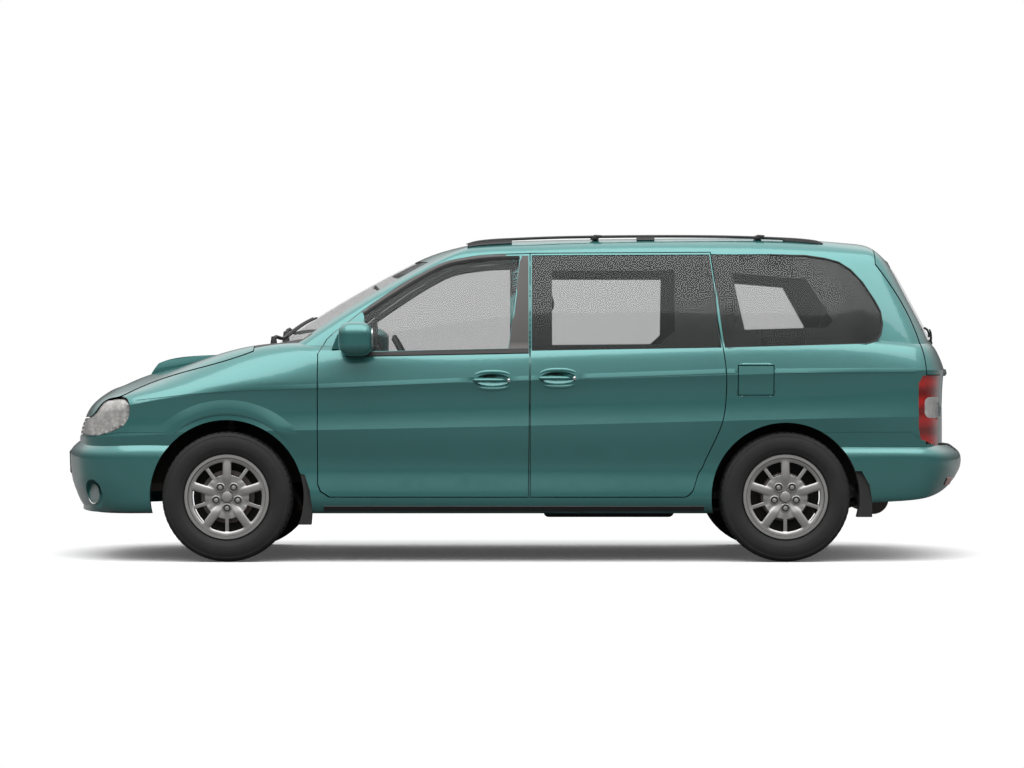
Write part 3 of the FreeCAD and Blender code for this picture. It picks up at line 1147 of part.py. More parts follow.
flap_stalk = flap_inside.common(box(
    flap_front_x + flap_arm - flap_barrel_radius, flap_front_x + flap_arm, near_edge,
    flap_inner_y, flap_mid_z - flap_barrel_half, flap_mid_z + flap_barrel_half))
flap_barrel = standing(
    flap_hinge_x, flap_hinge_y, flap_mid_z - flap_barrel_half, flap_barrel_radius, flap_barrel_half * 2)
flap_bore = standing(flap_hinge_x, flap_hinge_y, flap_low_z, flap_pin_radius + hinge_fit, flap_high_z - flap_low_z)
fuel_flap = near_shell.common(flap_region).cut(flap_inside)
fuel_flap = joined([fuel_flap, flap_stalk, flap_link, flap_neck.fuse(flap_barrel).cut(flap_bore)])
body_side_left = body_side.cut([flap_hole.cut(flap_well_back), flap_space.cut(flap_well_back)])
body_side_left = joined([body_side_left, flap_pin])

# Roof rack: two rails on feet and two crossbars that follow the roof
rail_y = 620.0
rack_rail_radius = 10.0
rack_rail_z = 1703.0
rack_front, rack_back = -262.0, 1630.0
RACK_FEET_SHARES = ((-0.148, 0.131), (0.687, 0.050), (1.529, 0.118))
RACK_BARS_SHARES = ((0.423, 0.029), (1.287, 0.045))
foot_half_width = 16.0
foot_drop = 110.0
bar_lift, bar_thickness = 3.0, 11.0
rack_start = Vector(rack_front, -rail_y, rack_rail_z)
near_rack = [
    Part.makeCylinder(rack_rail_radius, rack_back - rack_front, rack_start, Vector(1, 0, 0)),
    Part.makeSphere(rack_rail_radius, rack_start),
    Part.makeSphere(rack_rail_radius, Vector(rack_back, -rail_y, rack_rail_z)),
]
for middle, half in RACK_FEET_SHARES:
    near_rack.append(box(
        (middle - half) * grid_x, (middle + half) * grid_x, -rail_y - foot_half_width, -rail_y + foot_half_width,
        rack_rail_z - foot_drop, rack_rail_z))
near_rack = [piece.cut(body_outside) for piece in near_rack]
bar_below = moved(glasshouse, 0, 0, bar_lift)
bar_shell = moved(glasshouse, 0, 0, bar_lift + bar_thickness).cut(bar_below)
crossbars = []
for middle, half in RACK_BARS_SHARES:
    bar_x0, bar_x1 = (middle - half) * grid_x, (middle + half) * grid_x
    crossbars.append(bar_shell.common(across(bar_x0, bar_x1, rack_rail_z - foot_drop, far_y * 2, rail_y)))
    near_rack.append(box(
        bar_x0, bar_x1, -rail_y - rack_rail_radius, -rail_y + rack_rail_radius, rack_rail_z - foot_drop,
        rack_rail_z).cut(bar_below))
roof_rack = joined(near_rack + [opposite(piece) for piece in near_rack] + crossbars)

# Mud flaps behind the wheels, let into the lower ends of the arches
mud_flap_outer, mud_flap_inner = 905.0, 832.0
FRONT_FLAP_SHARES = (
    (-1.140, 0.468), (-1.098, 0.455), (-1.072, 0.375), (-1.060, 0.285), (-1.066, 0.195), (-1.140, 0.195),
)
REAR_FLAP_SHARES = (
    (1.740, 0.475), (1.800, 0.475), (1.842, 0.400), (1.856, 0.320), (1.856, 0.235), (1.740, 0.235),
)
wing = wing.cut(side_prism(FRONT_FLAP_SHARES, near_edge, -mud_flap_inner))
rear_bumper = rear_bumper.cut(side_prism(REAR_FLAP_SHARES, near_edge, -mud_flap_inner))
mud_flaps = [
    side_prism(flap_shares, -mud_flap_outer, -mud_flap_inner).cut([arch, body_side_left, wing, rear_bumper, floor_pan])
    for flap_shares, arch in ((FRONT_FLAP_SHARES, front_arch), (REAR_FLAP_SHARES, rear_arch))
]

# Cabin: dashboard, steering wheel, seat frames and cushions
cabin_half = 770.0
DASH_SHARES = (
    (-1.100, 0.640), (-1.100, 1.075), (-0.950, 1.085), (-0.790, 1.065), (-0.740, 1.020), (-0.760, 0.930),
    (-0.800, 0.860), (-0.780, 0.780), (-0.840, 0.660),
)
dashboard = side_prism(DASH_SHARES, -cabin_half, cabin_half, 0.0, ((1, 4),)).common(body_inside)
dashboard = dashboard.cut([a_post, opposite(a_post)])
driver_y = -400.0
wheel_centre = at(-0.560, 1.010, driver_y)
column_tilt = 28.0
column_length = 230.0
column_radius = 26.0
steer_ring_radius = 190.0
steer_grip = 14.0
steer_hub_radius = 62.0
steer_hub_depth = 40.0
steer_spoke = 18.0
column_axis = Vector(-math.cos(math.radians(column_tilt)), 0, -math.sin(math.radians(column_tilt)))
steer_turn = FreeCAD.Rotation(Vector(0, 0, 1), column_axis)
column = Part.makeCylinder(
    column_radius, column_length, wheel_centre + column_axis * (steer_hub_depth + spindle_fit), column_axis)
dashboard = joined([dashboard, column])
steer_ring = Part.makeTorus(steer_ring_radius, steer_grip)
steer_hub = Part.makeCylinder(steer_hub_radius, steer_hub_depth)
steer_spokes = [
    box(-steer_ring_radius, steer_ring_radius, -steer_spoke, steer_spoke, steer_hub_depth / 4, steer_hub_depth / 2),
    box(-steer_spoke, steer_spoke, -steer_ring_radius, 0, steer_hub_depth / 4, steer_hub_depth / 2),
]
steering_wheel = joined([steer_ring, steer_hub] + steer_spokes)
steering_wheel.Placement = FreeCAD.Placement(wheel_centre, steer_turn)

SEAT_BASE_SHARES = ((-0.24, 0.0), (-0.20, 0.17), (0.10, 0.17), (0.13, 0.0))
SEAT_CUSHION_SHARES = ((-0.30, 0.205), (-0.29, 0.29), (-0.22, 0.315), (0.20, 0.275), (0.20, 0.1703), (-0.22, 0.1703))
SEAT_BACK_SHARES = ((0.205, 0.19), (0.075, 0.30), (0.30, 0.90), (0.36, 0.93), (0.41, 0.89), (0.27, 0.17))
SEAT_HEAD_SHARES = ((0.325, 0.937), (0.350, 1.085), (0.40, 1.115), (0.445, 1.075), (0.43, 0.917))
seat_half = 235.0
head_half = 125.0


def seat(shift_x, shift_z, y0, y1, heads):
    """The frame and the cushions of one seat or bench, with a head cushion at each of the places across it."""
    def placed(shares, low, high):
        lifted = tuple((x + shift_x / grid_x, z + shift_z / grid_z) for x, z in shares)
        return side_prism(lifted, low, high)
    frame = placed(SEAT_BASE_SHARES, y0 + steer_hub_radius, y1 - steer_hub_radius)
    cushions = [placed(SEAT_CUSHION_SHARES, y0, y1), placed(SEAT_BACK_SHARES, y0, y1)]
    cushions += [placed(SEAT_HEAD_SHARES, middle - head_half, middle + head_half) for middle in heads]
    return frame, cushions


front_seat_x, middle_seat_x, bench_x = -225.0, 610.0, 1450.0
bench_half = 560.0
frames = []
front_cushions, middle_cushions = [], []
for side in (-1, 1):
    middle_y = side * -driver_y
    frame, cushions = seat(front_seat_x, floor_top, middle_y - seat_half, middle_y + seat_half, [middle_y])
    frames.append(frame)
    front_cushions += cushions
    frame, cushions = seat(middle_seat_x, floor_top, middle_y - seat_half, middle_y + seat_half, [middle_y])
    frames.append(frame)
    middle_cushions += cushions
bench_head_y = 360.0
bench_heads = [-bench_head_y, 0, bench_head_y]
frame, bench_cushions = seat(bench_x, rear_floor_top, -bench_half, bench_half, bench_heads)
frames.append(frame)

os.makedirs("parts", exist_ok=True)


def placed_wheel(shape, place, far_side):
    """A wheel piece at its axle, with its outer face away from the middle plane."""
    result = shape.copy()
    result.translate(Vector(place[0], place[1], place[2]))
    return opposite(result) if far_side else result


nodes = {
    "floor_pan": floor_pan,
    "body_side_left": body_side_left,
    "body_side_right": opposite(body_side),
    "roof": joined([roof, opposite(roof)]),
    "wing_left": wing,
    "wing_right": opposite(wing),
    "front_bumper": joined([front_bumper, opposite(front_bumper)]),
    "rear_bumper": joined([rear_bumper, opposite(rear_bumper)]),
    "grille": joined([grille, opposite(grille)]),
    "cowl": joined([cowl, opposite(cowl)]),
    "windscreen": joined([windscreen, opposite(windscreen)]),
    "headlamps": both(headlamp),
    "tail_lamps": both(tail_lamp),
    "sliding_door_left": sliding_door,
    "sliding_door_right": opposite(sliding_door),
    "side_windows": Part.makeCompound([both(sliding_pane), both(quarter_pane)]),
    "roof_rack": roof_rack,
    "mud_flaps": both(Part.makeCompound(mud_flaps)),
    "front_subframe": front_subframe,
    "struts": both(strut()),
    "rear_axle": rear_axle,
    "engine": engine,
    "radiator": radiator,
    "exhaust": exhaust,
    "fuel_tank": fuel_tank,
    "dashboard": dashboard,
    "seat_frames": Part.makeCompound(frames),
    "front_seats": Part.makeCompound(front_cushions),
    "middle_seats": Part.makeCompound(middle_cushions),
    "rear_bench": Part.makeCompound(bench_cushions),
    "front_door_left": front_door,
    "front_door_right": opposite(front_door),
    "door_window_left": front_door_pane,
    "door_window_right": opposite(front_door_pane),
    "mirror_left": mirror,
    "mirror_right": opposite(mirror),
    "bonnet": joined([bonnet, opposite(bonnet)]),
    "tailgate": joined([tailgate, opposite(tailgate)]),
    "tailgate_window": joined([tailgate_pane, opposite(tailgate_pane)]),
    "fuel_flap": fuel_flap,
    "steering_wheel": steering_wheel,
    "knuckle_left": knuckle,
    "knuckle_right": opposite(knuckle),
}
for place, end in ((front_place, "front"), (rear_place, "rear")):
    for far_side, side in ((False, "left"), (True, "right")):
        nodes["tyre_%s_%s" % (end, side)] = placed_wheel(tyre, place, far_side)
        nodes["rim_%s_%s" % (end, side)] = placed_wheel(rim, place, far_side)
        ring = brake_disc if end == "front" else brake_drum
        nodes["brake_%s_%s" % (end, side)] = placed_wheel(ring, place, far_side)
for name, shape in nodes.items():
    kept(name, shape)
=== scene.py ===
"""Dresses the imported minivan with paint, glass, lamps, wheels, trim and cabin."""

import logging
import math
from dataclasses import dataclass
from enum import Enum
from typing import Callable, Iterable, Sequence

import bmesh
import bpy
from mathutils import Matrix, Vector
from mathutils.bvhtree import BVHTree

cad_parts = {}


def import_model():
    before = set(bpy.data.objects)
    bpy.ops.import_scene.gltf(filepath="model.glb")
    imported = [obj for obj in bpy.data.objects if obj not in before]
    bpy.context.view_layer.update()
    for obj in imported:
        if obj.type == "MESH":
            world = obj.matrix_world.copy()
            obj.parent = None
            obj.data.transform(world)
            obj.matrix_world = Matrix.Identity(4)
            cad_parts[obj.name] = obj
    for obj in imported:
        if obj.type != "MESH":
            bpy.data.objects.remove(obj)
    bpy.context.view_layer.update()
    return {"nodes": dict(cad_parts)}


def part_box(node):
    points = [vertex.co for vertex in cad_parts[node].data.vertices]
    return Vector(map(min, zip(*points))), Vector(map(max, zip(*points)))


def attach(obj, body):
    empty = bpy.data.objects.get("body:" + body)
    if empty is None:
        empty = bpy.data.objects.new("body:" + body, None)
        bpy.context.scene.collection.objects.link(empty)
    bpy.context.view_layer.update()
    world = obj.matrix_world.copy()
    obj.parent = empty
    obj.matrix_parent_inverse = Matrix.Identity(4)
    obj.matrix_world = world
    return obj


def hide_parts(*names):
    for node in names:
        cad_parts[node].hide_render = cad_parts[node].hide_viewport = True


LOG = logging.getLogger("minivan")
Point = Sequence[float]
Colour = tuple[float, float, float]

FRONT_AXLE_X = -1.505
REAR_AXLE_X = 1.405
AXLE_Z = 0.34
WHEEL_Y = 0.812
WHITE: Colour = (1.0, 1.0, 1.0)


class Side(Enum):
    """The two flanks of the vehicle."""

    LEFT = -1
    RIGHT = 1

    @property
    def word(self) -> str:
        """The side's word in node names."""
        return self.name.lower()


# ---- Materials


class Wire:
    """A shader value that takes part in sums."""

    def __init__(self, graph: "Graph", socket: bpy.types.NodeSocket) -> None:
        self.graph = graph
        self.socket = socket

    def maths(self, operation: str, *values: "Wire | float") -> "Wire":
        """Add a Math node.

        Args:
            operation: Blender's name of the operation.
            values: The inputs in order.

        Returns:
            The node's result.
        """
        return self.graph.node("ShaderNodeMath", {"operation": operation}, dict(enumerate(values)))

    def __add__(self, other: "Wire | float") -> "Wire":
        """Sum."""
        return self.maths("ADD", self, other)

    def __radd__(self, other: float) -> "Wire":
        """Sum, reflected."""
        return self.maths("ADD", other, self)

    def __sub__(self, other: "Wire | float") -> "Wire":
        """Difference."""
        return self.maths("SUBTRACT", self, other)

    def __mul__(self, other: "Wire | float") -> "Wire":
        """Product."""
        return self.maths("MULTIPLY", self, other)

    def __truediv__(self, other: "Wire | float") -> "Wire":
        """Quotient."""
        return self.maths("DIVIDE", self, other)

    def __lt__(self, other: "Wire | float") -> "Wire":
        """One where this value is the smaller."""
        return self.maths("LESS_THAN", self, other)

    def sine(self) -> "Wire":
        """Sine."""
        return self.maths("SINE", self)

    def size(self) -> "Wire":
        """Absolute value."""
        return self.maths("ABSOLUTE", self)

    def clamped(self) -> "Wire":
        """The value held between 0 and 1."""
        return self.maths("MINIMUM", self.maths("MAXIMUM", self, 0.0), 1.0)


class Graph:
    """A node tree that is filled through one method."""

    def __init__(self, tree: bpy.types.NodeTree) -> None:
        self.tree = tree
        tree.nodes.clear()

    def make(self, kind: str) -> bpy.types.Node:
        """Add one bare node."""
        return self.tree.nodes.new(kind)

    def node(
        self, kind: str, settings: dict | None = None, values: dict | None = None, result: int | str = 0
    ) -> Wire:
        """Make any node.

        Args:
            kind: Blender's name of the node type.
            settings: Properties, set first.
            values: Numbers, colours or wires for the node's sockets, by name or number.
            result: Which output to return.

        Returns:
            The chosen output.
        """
        made = self.make(kind)
        for key, value in (settings or {}).items():
            setattr(made, key, value)
        for key, value in (values or {}).items():
            self.feed(made.inputs[key], value)
        return Wire(self, made.outputs[result])

    def feed(self, socket: bpy.types.NodeSocket, value: object) -> None:
        """Link a wire to a socket, or set the socket's own value."""
        if isinstance(value, Wire):
            self.tree.links.new(value.socket, socket)
        elif isinstance(value, (tuple, list)) and socket.type == "RGBA":
            socket.default_value = (*value[:3], 1.0)
        else:
            socket.default_value = value

    def rays(self, *kinds: str) -> list[Wire]:
        """One for each kind of ray, where the ray that arrives is of that kind."""
        return [self.node("ShaderNodeLightPath", result="Is %s Ray" % kind) for kind in kinds]


class Shader(Graph):
    """A material that is being built around one Principled shader."""

    def __init__(self, name: str) -> None:
        self.material = bpy.data.materials.new(name)
        self.material.use_nodes = True
        super().__init__(self.material.node_tree)
        self.surface = self.make("ShaderNodeBsdfPrincipled")
        self.output = self.make("ShaderNodeOutputMaterial")
        self.feed(self.output.inputs[0], Wire(self, self.surface.outputs[0]))

    def set(self, **sockets: object) -> None:
        """Set or link sockets of the Principled shader, with _ for each space in a name."""
        for key, value in sockets.items():
            self.feed(self.surface.inputs[key.replace("_", " ")], value)

    def place(self) -> Wire:
        """The point on the object, in metres."""
        return self.node("ShaderNodeTexCoord", result="Object")

    def parts(self, vector: Wire) -> tuple[Wire, Wire, Wire]:
        """The three numbers of a vector."""
        first = self.node("ShaderNodeSeparateXYZ", None, {0: vector})
        owner = first.socket.node
        return first, Wire(self, owner.outputs[1]), Wire(self, owner.outputs[2])

    def noise(self, scale: float, detail: float = 3.0, roughness: float = 0.5, vector: Wire | None = None) -> Wire:
        """A soft noise between 0 and 1 at the point on the object."""
        return self.node("ShaderNodeTexNoise", None, {
            "Vector": vector or self.place(), "Scale": scale, "Detail": detail, "Roughness": roughness})

    def mixed(self, factor: Wire | float, first: object, second: object) -> Wire:
        """A colour between two."""
        return self.node("ShaderNodeMix", {"data_type": "RGBA"}, {0: factor, 6: first, 7: second}, 2)

    def bump(self, height: Wire, distance: float, strength: float = 1.0) -> None:
        """Raise the surface by a height map."""
        self.set(Normal=self.node("ShaderNodeBump", None, {
            "Height": height, "Distance": distance, "Strength": strength}))


@dataclass(frozen=True)
class Finish:
    """What every finish has: a name and the record's slot it stands for."""

    name: str
    slot: str

    def build(self) -> bpy.types.Material:
        """The material, made once and then reused."""
        found = bpy.data.materials.get(self.name)
        if found:
            return found
        shader = Shader(self.name)
        self.dress(shader)
        return shader.material

    def dress(self, shader: Shader) -> None:
        """Fill in the shader."""
        raise NotImplementedError


@dataclass(frozen=True)
class MetallicPaint(Finish):
    """Base coat with flakes under clear lacquer."""

    colour: Colour = (0.056, 0.224, 0.214)
    dark: Colour = (0.046, 0.194, 0.186)
    flake_scale: float = 2600.0

    def dress(self, shader: Shader) -> None:
        """Fill in the shader."""
        flakes = shader.node("ShaderNodeTexVoronoi", None, {"Vector": shader.place(), "Scale": self.flake_scale})
        drift = shader.noise(1.6, 2.0)
        tone = (drift * 0.7 + flakes * 0.5).clamped()
        shader.set(
            Base_Color=shader.mixed(tone, self.colour, self.dark), Metallic=0.55,
            Roughness=0.27 + shader.noise(9.0) * 0.05, Coat_Weight=1.0, Coat_Roughness=0.04, Coat_IOR=1.5)
        shader.bump(flakes, 0.00004, 0.25)


@dataclass(frozen=True)
class Plastic(Finish):
    """Moulded plastic or rubber with a fine grain."""

    colour: Colour = (0.02, 0.02, 0.021)
    roughness: float = 0.5
    grain: float = 900.0
    depth: float = 0.00015
    mottle: float = 0.25

    def dress(self, shader: Shader) -> None:
        """Fill in the shader."""
        grain = shader.noise(self.grain, 2.0)
        worn = shader.noise(7.0, 4.0, 0.6)
        lighter = tuple(min(1.0, c * (1.0 + self.mottle) + 0.002) for c in self.colour)
        shader.set(
            Base_Color=shader.mixed(worn, self.colour, lighter),
            Roughness=(self.roughness - 0.06 + worn * 0.14).clamped())
        shader.bump(grain, self.depth, 0.5)


@dataclass(frozen=True)
class TyreRubber(Finish):
    """Tread rubber, a little dusty, with moulded rings on the side wall."""

    colour: Colour = (0.010, 0.010, 0.011)
    dust: Colour = (0.024, 0.023, 0.022)

    def dress(self, shader: Shader) -> None:
        """Fill in the shader."""
        blotch = shader.noise(14.0, 5.0, 0.65)
        shader.set(
            Base_Color=shader.mixed((blotch * 1.6 - 0.5).clamped(), self.colour, self.dust),
            Roughness=0.62 + blotch * 0.2)
        shader.bump(shader.noise(420.0, 3.0), 0.0003, 0.6)


@dataclass(frozen=True)
class Metal(Finish):
    """Bare or painted metal."""

    colour: Colour = (0.6, 0.61, 0.62)
    metallic: float = 1.0
    roughness: float = 0.35
    wear: float = 0.12
    dirt: Colour = (0.25, 0.25, 0.25)
    dirt_share: float = 0.0

    def dress(self, shader: Shader) -> None:
        """Fill in the shader."""
        speck = shader.noise(60.0, 5.0, 0.7)
        grime = (shader.noise(6.0, 4.0, 0.6) * 2.0 - 1.0 + self.dirt_share).clamped() * min(1.0, self.dirt_share * 2)
        shader.set(
            Base_Color=shader.mixed(grime, self.colour, self.dirt), Metallic=self.metallic,
            Roughness=(self.roughness - self.wear / 2 + speck * self.wear + grime * 0.25).clamped())
        shader.bump(shader.noise(500.0, 2.0), 0.0001, 0.3)


@dataclass(frozen=True)
class Clear(Finish):
    """Glass or clear plastic that is seen through."""

    colour: Colour = (0.03, 0.04, 0.037)
    alpha: float = 0.215
    index: float = 1.6
    roughness: float = 0.02

    def dress(self, shader: Shader) -> None:
        """Fill in the shader."""
        film = shader.noise(3.0, 3.0)
        shader.set(
            Base_Color=self.colour, IOR=self.index, Roughness=self.roughness + film * 0.015,
            Alpha=(self.alpha - 0.01 + film * 0.02).clamped())


@dataclass(frozen=True)
class LampLens(Finish):
    """Coloured lamp plastic with fine optic ribs, and darker patches painted as shade inside the lamp."""

    colour: Colour = (0.45, 0.012, 0.01)
    ribs: float = 900.0

    def dress(self, shader: Shader) -> None:
        """Fill in the shader."""
        x, y, z = shader.parts(shader.place())
        ribs = (z * self.ribs).sine() * 0.5 + ((x + y) * self.ribs).sine() * 0.5
        # Painted shade: darker patches of the lens colour stand for the depth of the lamp behind the lens.
        depth = shader.noise(24.0, 3.0)
        depth_shade = tuple(c * 0.55 for c in self.colour)
        shader.set(
            Base_Color=shader.mixed((depth * 1.4 - 0.2).clamped(), self.colour, depth_shade), Roughness=0.12,
            Coat_Weight=1.0, Coat_Roughness=0.03)
        shader.bump(ribs, 0.0003, 0.35)


@dataclass(frozen=True)
class Weave(Finish):
    """Woven or knitted cloth."""

    colour: Colour = (0.20, 0.195, 0.185)
    thread: Colour = (0.29, 0.285, 0.27)
    pitch: float = 0.0022

    def dress(self, shader: Shader) -> None:
        """Fill in the shader."""
        x, y, z = shader.parts(shader.place())
        turns = 2 * math.pi / self.pitch
        warp = (y * turns).sine()
        weft = ((x + z) * turns).sine()
        weave = (warp * weft * 0.5 + 0.5).clamped()
        fuzz = shader.noise(40.0, 4.0, 0.7)
        shader.set(
            Base_Color=shader.mixed((weave * 0.6 + fuzz * 0.5 - 0.1).clamped(), self.colour, self.thread),
            Roughness=0.85 + fuzz * 0.1, Sheen_Weight=0.25, Sheen_Roughness=0.5)
        shader.bump(weave + fuzz, 0.0006, 0.5)


PAINT = MetallicPaint("teal_metallic_paint", "paint")
BLACK_TRIM = Plastic("black_grained_plastic", "black_plastic", (0.016, 0.016, 0.017), 0.48)
GLOSS_TRIM = Plastic("black_gloss_plastic", "black_plastic", (0.008, 0.008, 0.009), 0.12, 300.0, 0.00002)
FRIT = Plastic("black_glass_band", "black_plastic", (0.006, 0.0065, 0.0065), 0.10, 300.0, 0.00002)
PILLAR_TRIM = Plastic("grey_pillar_trim", "black_plastic", (0.055, 0.052, 0.050), 0.42)
SEAL = Plastic("rubber_seal", "rubber", (0.012, 0.012, 0.012), 0.62, 500.0)
RUBBER = Plastic("moulded_rubber", "rubber", (0.02, 0.02, 0.02), 0.7, 400.0, 0.0004)
TREAD = TyreRubber("tyre_rubber", "tyre")
ALLOY = Metal("cast_alloy", "alloy", (0.46, 0.455, 0.445), 0.75, 0.36, 0.10, (0.2, 0.19, 0.18), 0.15)
STEEL = Metal("painted_steel", "steel", (0.035, 0.035, 0.037), 0.3, 0.5, 0.2, (0.10, 0.085, 0.07), 0.5)
BRAKE_IRON = Metal("brake_iron", "iron", (0.20, 0.195, 0.19), 0.9, 0.42, 0.2, (0.10, 0.06, 0.04), 0.4)
UNDERSEAL = Metal("underseal", "under", (0.022, 0.022, 0.023), 0.0, 0.72, 0.2, (0.06, 0.052, 0.045), 0.6)
CHROME = Metal("bright_metal", "alloy", (0.75, 0.76, 0.77), 1.0, 0.12, 0.04)
GLASS = Clear("tinted_glass", "glass")
LENS = Clear("clear_lens", "lamp_clear", (0.75, 0.74, 0.72), 0.30, 1.5, 0.03)
RED_LENS = LampLens("red_lens", "lamp_red", (0.50, 0.012, 0.012))
SMOKE_LENS = LampLens("clear_ribbed_lens", "lamp_clear", (0.62, 0.60, 0.58))
REFLECTOR = Metal("lamp_reflector", "lamp_clear", (0.82, 0.83, 0.83), 1.0, 0.10, 0.05)
CABIN_TRIM = Plastic("grey_cabin_trim", "trim", (0.105, 0.103, 0.100), 0.62, 700.0, 0.0003)
DARK_TRIM = Plastic("dark_cabin_trim", "trim", (0.035, 0.035, 0.036), 0.6, 700.0, 0.0003)
CLOTH = Weave("seat_cloth", "cloth")
PLATE = Plastic("blank_plate", "alloy", (0.70, 0.70, 0.68), 0.35, 500.0, 0.00004, 0.04)
# Near-black brake shields: partly the real part, partly painted shade behind the wheel spokes.
SHIELD_PAINTED_SHADE = Metal("brake_shield", "iron", (0.012, 0.012, 0.012), 0.2, 0.6, 0.2, (0.03, 0.024, 0.02), 0.4)
WEBBING = Weave("belt_webbing", "cloth", (0.035, 0.035, 0.036), (0.07, 0.07, 0.07), 0.0016)


# ---- Modelling


class Work:
    """One mesh, shaped step by step with Blender's own tools."""

    def __init__(self, thing: bpy.types.Object) -> None:
        self.thing = thing
        self.slot = ""

    # Starting points

    @staticmethod
    def _added(name: str) -> "Work":
        """Name the primitive that was just added and apply its place."""
        thing = bpy.context.active_object
        bpy.ops.object.transform_apply(location=True, rotation=True, scale=True)
        thing.name = name
        thing.data.name = name
        return Work(thing)

    @classmethod
    def block(cls, name: str, low: Point, high: Point) -> "Work":
        """Start from a block between two corners."""
        bpy.ops.mesh.primitive_cube_add(size=1.0, location=[(a + b) / 2 for a, b in zip(low, high)])
        bpy.context.active_object.scale = [abs(b - a) for a, b in zip(low, high)]
        return cls._added(name)

    @classmethod
    def rod(
        cls, name: str, start: Point, end: Point, radius: float, end_radius: float | None = None, sides: int = 24
    ) -> "Work":
        """Start from a round bar or cone between two points."""
        axis = Vector(end) - Vector(start)
        bpy.ops.mesh.primitive_cone_add(
            vertices=sides, radius1=radius, radius2=radius if end_radius is None else end_radius,
            depth=axis.length, location=(Vector(start) + Vector(end)) / 2)
        bpy.context.active_object.rotation_euler = axis.to_track_quat("Z", "Y").to_euler()
        return cls._added(name)

    @classmethod
    def ball(cls, name: str, centre: Point, radii: Point, rings: int = 12, segments: int = 24) -> "Work":
        """Start from a ball with its own radius on each axis."""
        bpy.ops.mesh.primitive_uv_sphere_add(segments=segments, ring_count=rings, radius=1.0, location=centre)
        bpy.context.active_object.scale = radii
        return cls._added(name)

    @classmethod
    def grid(cls, name: str, columns: int, rows: int, place: Callable[[float, float], Point]) -> "Work":
        """Start from a grid whose points are moved to where a function puts them.

        Args:
            name: The piece's name.
            columns: Cells along the first share.
            rows: Cells along the second share.
            place: Gives the point for the two shares, each from 0 to 1.

        Returns:
            The shaped sheet.
        """
        bpy.ops.mesh.primitive_grid_add(x_subdivisions=columns, y_subdivisions=rows, size=1.0)
        thing = bpy.context.active_object
        for vertex in thing.data.vertices:
            vertex.co = place(vertex.co.x + 0.5, vertex.co.y + 0.5)
        return cls._added(name)

    @classmethod
    def outline(cls, name: str, points: Sequence[Point]) -> "Work":
        """Start from one flat face with the given corners."""
        bpy.ops.mesh.primitive_circle_add(vertices=len(points), radius=1.0, fill_type="NGON")
        thing = bpy.context.active_object
        for vertex, point in zip(thing.data.vertices, points):
            vertex.co = point
        return cls._added(name)

    @classmethod
    def turned(cls, name: str, profile: Sequence[tuple[float, float]], steps: int, closed: bool = True) -> "Work":
        """Spin a (y, radius) profile about the Y axis.

        Args:
            name: The piece's name.
            profile: Points of the profile.
            steps: Steps all the way round.
            closed: Whether the profile's ends join.

        Returns:
            The turned piece about the origin.
        """
        bpy.ops.mesh.primitive_circle_add(vertices=len(profile), radius=1.0)
        thing = bpy.context.active_object
        for vertex, (y, radius) in zip(thing.data.vertices, profile):
            vertex.co = (0.0, y, radius)
        work = cls._added(name)
        work.enter()
        if not closed:
            mesh = bmesh.from_edit_mesh(work.thing.data)
            mesh.verts.ensure_lookup_table()
            ends = {mesh.verts[0], mesh.verts[len(profile) - 1]}
            last = [edge for edge in mesh.edges if set(edge.verts) == ends]
            bmesh.ops.delete(mesh, geom=last, context="EDGES_FACES")
            bmesh.update_edit_mesh(work.thing.data)
        bpy.ops.mesh.select_all(action="SELECT")
        bpy.ops.mesh.spin(steps=steps, dupli=False, angle=2 * math.pi, center=(0, 0, 0), axis=(0, 1, 0))
        return work.merged()

    @classmethod
    def tube(cls, name: str, path: Sequence[Point], radii: Sequence[float] | float, sides: int = 12) -> "Work":
        """Start from a round bar that follows a path.

        Args:
            name: The piece's name.
            path: Points along the middle.
            radii: One radius, or one for each point.
            sides: Sides of the section.

        Returns:
            The closed bar.
        """
        points = [Vector(point) for point in path]
        sizes = [radii] * len(points) if isinstance(radii, float) else list(radii)
        frames = []
        for number, point in enumerate(points):
            ahead = (points[min(number + 1, len(points) - 1)] - points[max(number - 1, 0)]).normalized()
            across = ahead.cross(Vector((0, 0, 1)))
            if across.length < 0.05:
                across = ahead.cross(Vector((0, 1, 0)))
            across.normalize()
            frames.append((point, across, across.cross(ahead)))

        def place(u: float, v: float) -> Vector:
            """The point at a share round and a share along."""
            number = round(v * (len(points) - 1))
            point, across, over = frames[number]
            turn = 2 * math.pi * u
            return point + (across * math.cos(turn) + over * math.sin(turn)) * sizes[number]

        return cls.grid(name, sides, len(points) - 1, place).sealed().shade(50.0)

    @classmethod
    def slab(cls, name: str, points: Sequence[Point], by: Point, width: float = 0.0, rounds: int = 2) -> "Work":
        """Start from a flat outline that is extruded, with its edges rounded."""
        work = cls.outline(name, points).whole().extrude(by).sealed()
        if width:
            work.rounded(width, rounds)
        return work.shade()

    @classmethod
    def pad(cls, name: str, low: Point, high: Point, crown: float, cuts: int = 7) -> "Work":
        """Start from a stuffed block: crowned faces, soft corners and sides that pull in between them.

        Args:
            name: The piece's name.
            low: The lowest corner.
            high: The highest corner.
            crown: How far the faces swell, as a share of the thinnest side.
            cuts: Cuts along each edge.

        Returns:
            The closed stuffed form.
        """
        work = cls.block(name, low, high).divided(cuts)
        centre = [(a + b) / 2 for a, b in zip(low, high)]
        halves = [abs(b - a) / 2 for a, b in zip(low, high)]
        swell = crown * min(halves)
        for vertex in work.thing.data.vertices:
            shares = [(vertex.co[n] - centre[n]) / halves[n] for n in range(3)]
            moved = []
            for n in range(3):
                first, second = shares[(n + 1) % 3], shares[(n + 2) % 3]
                bulge = (1 - first ** 2) * (1 - second ** 2)
                corner = 1 - 0.16 * (abs(first) ** 6 + abs(second) ** 6) * min(halves) / halves[n]
                moved.append(centre[n] + shares[n] * ((halves[n] - swell) * corner + swell * bulge))
            vertex.co = moved
        return work

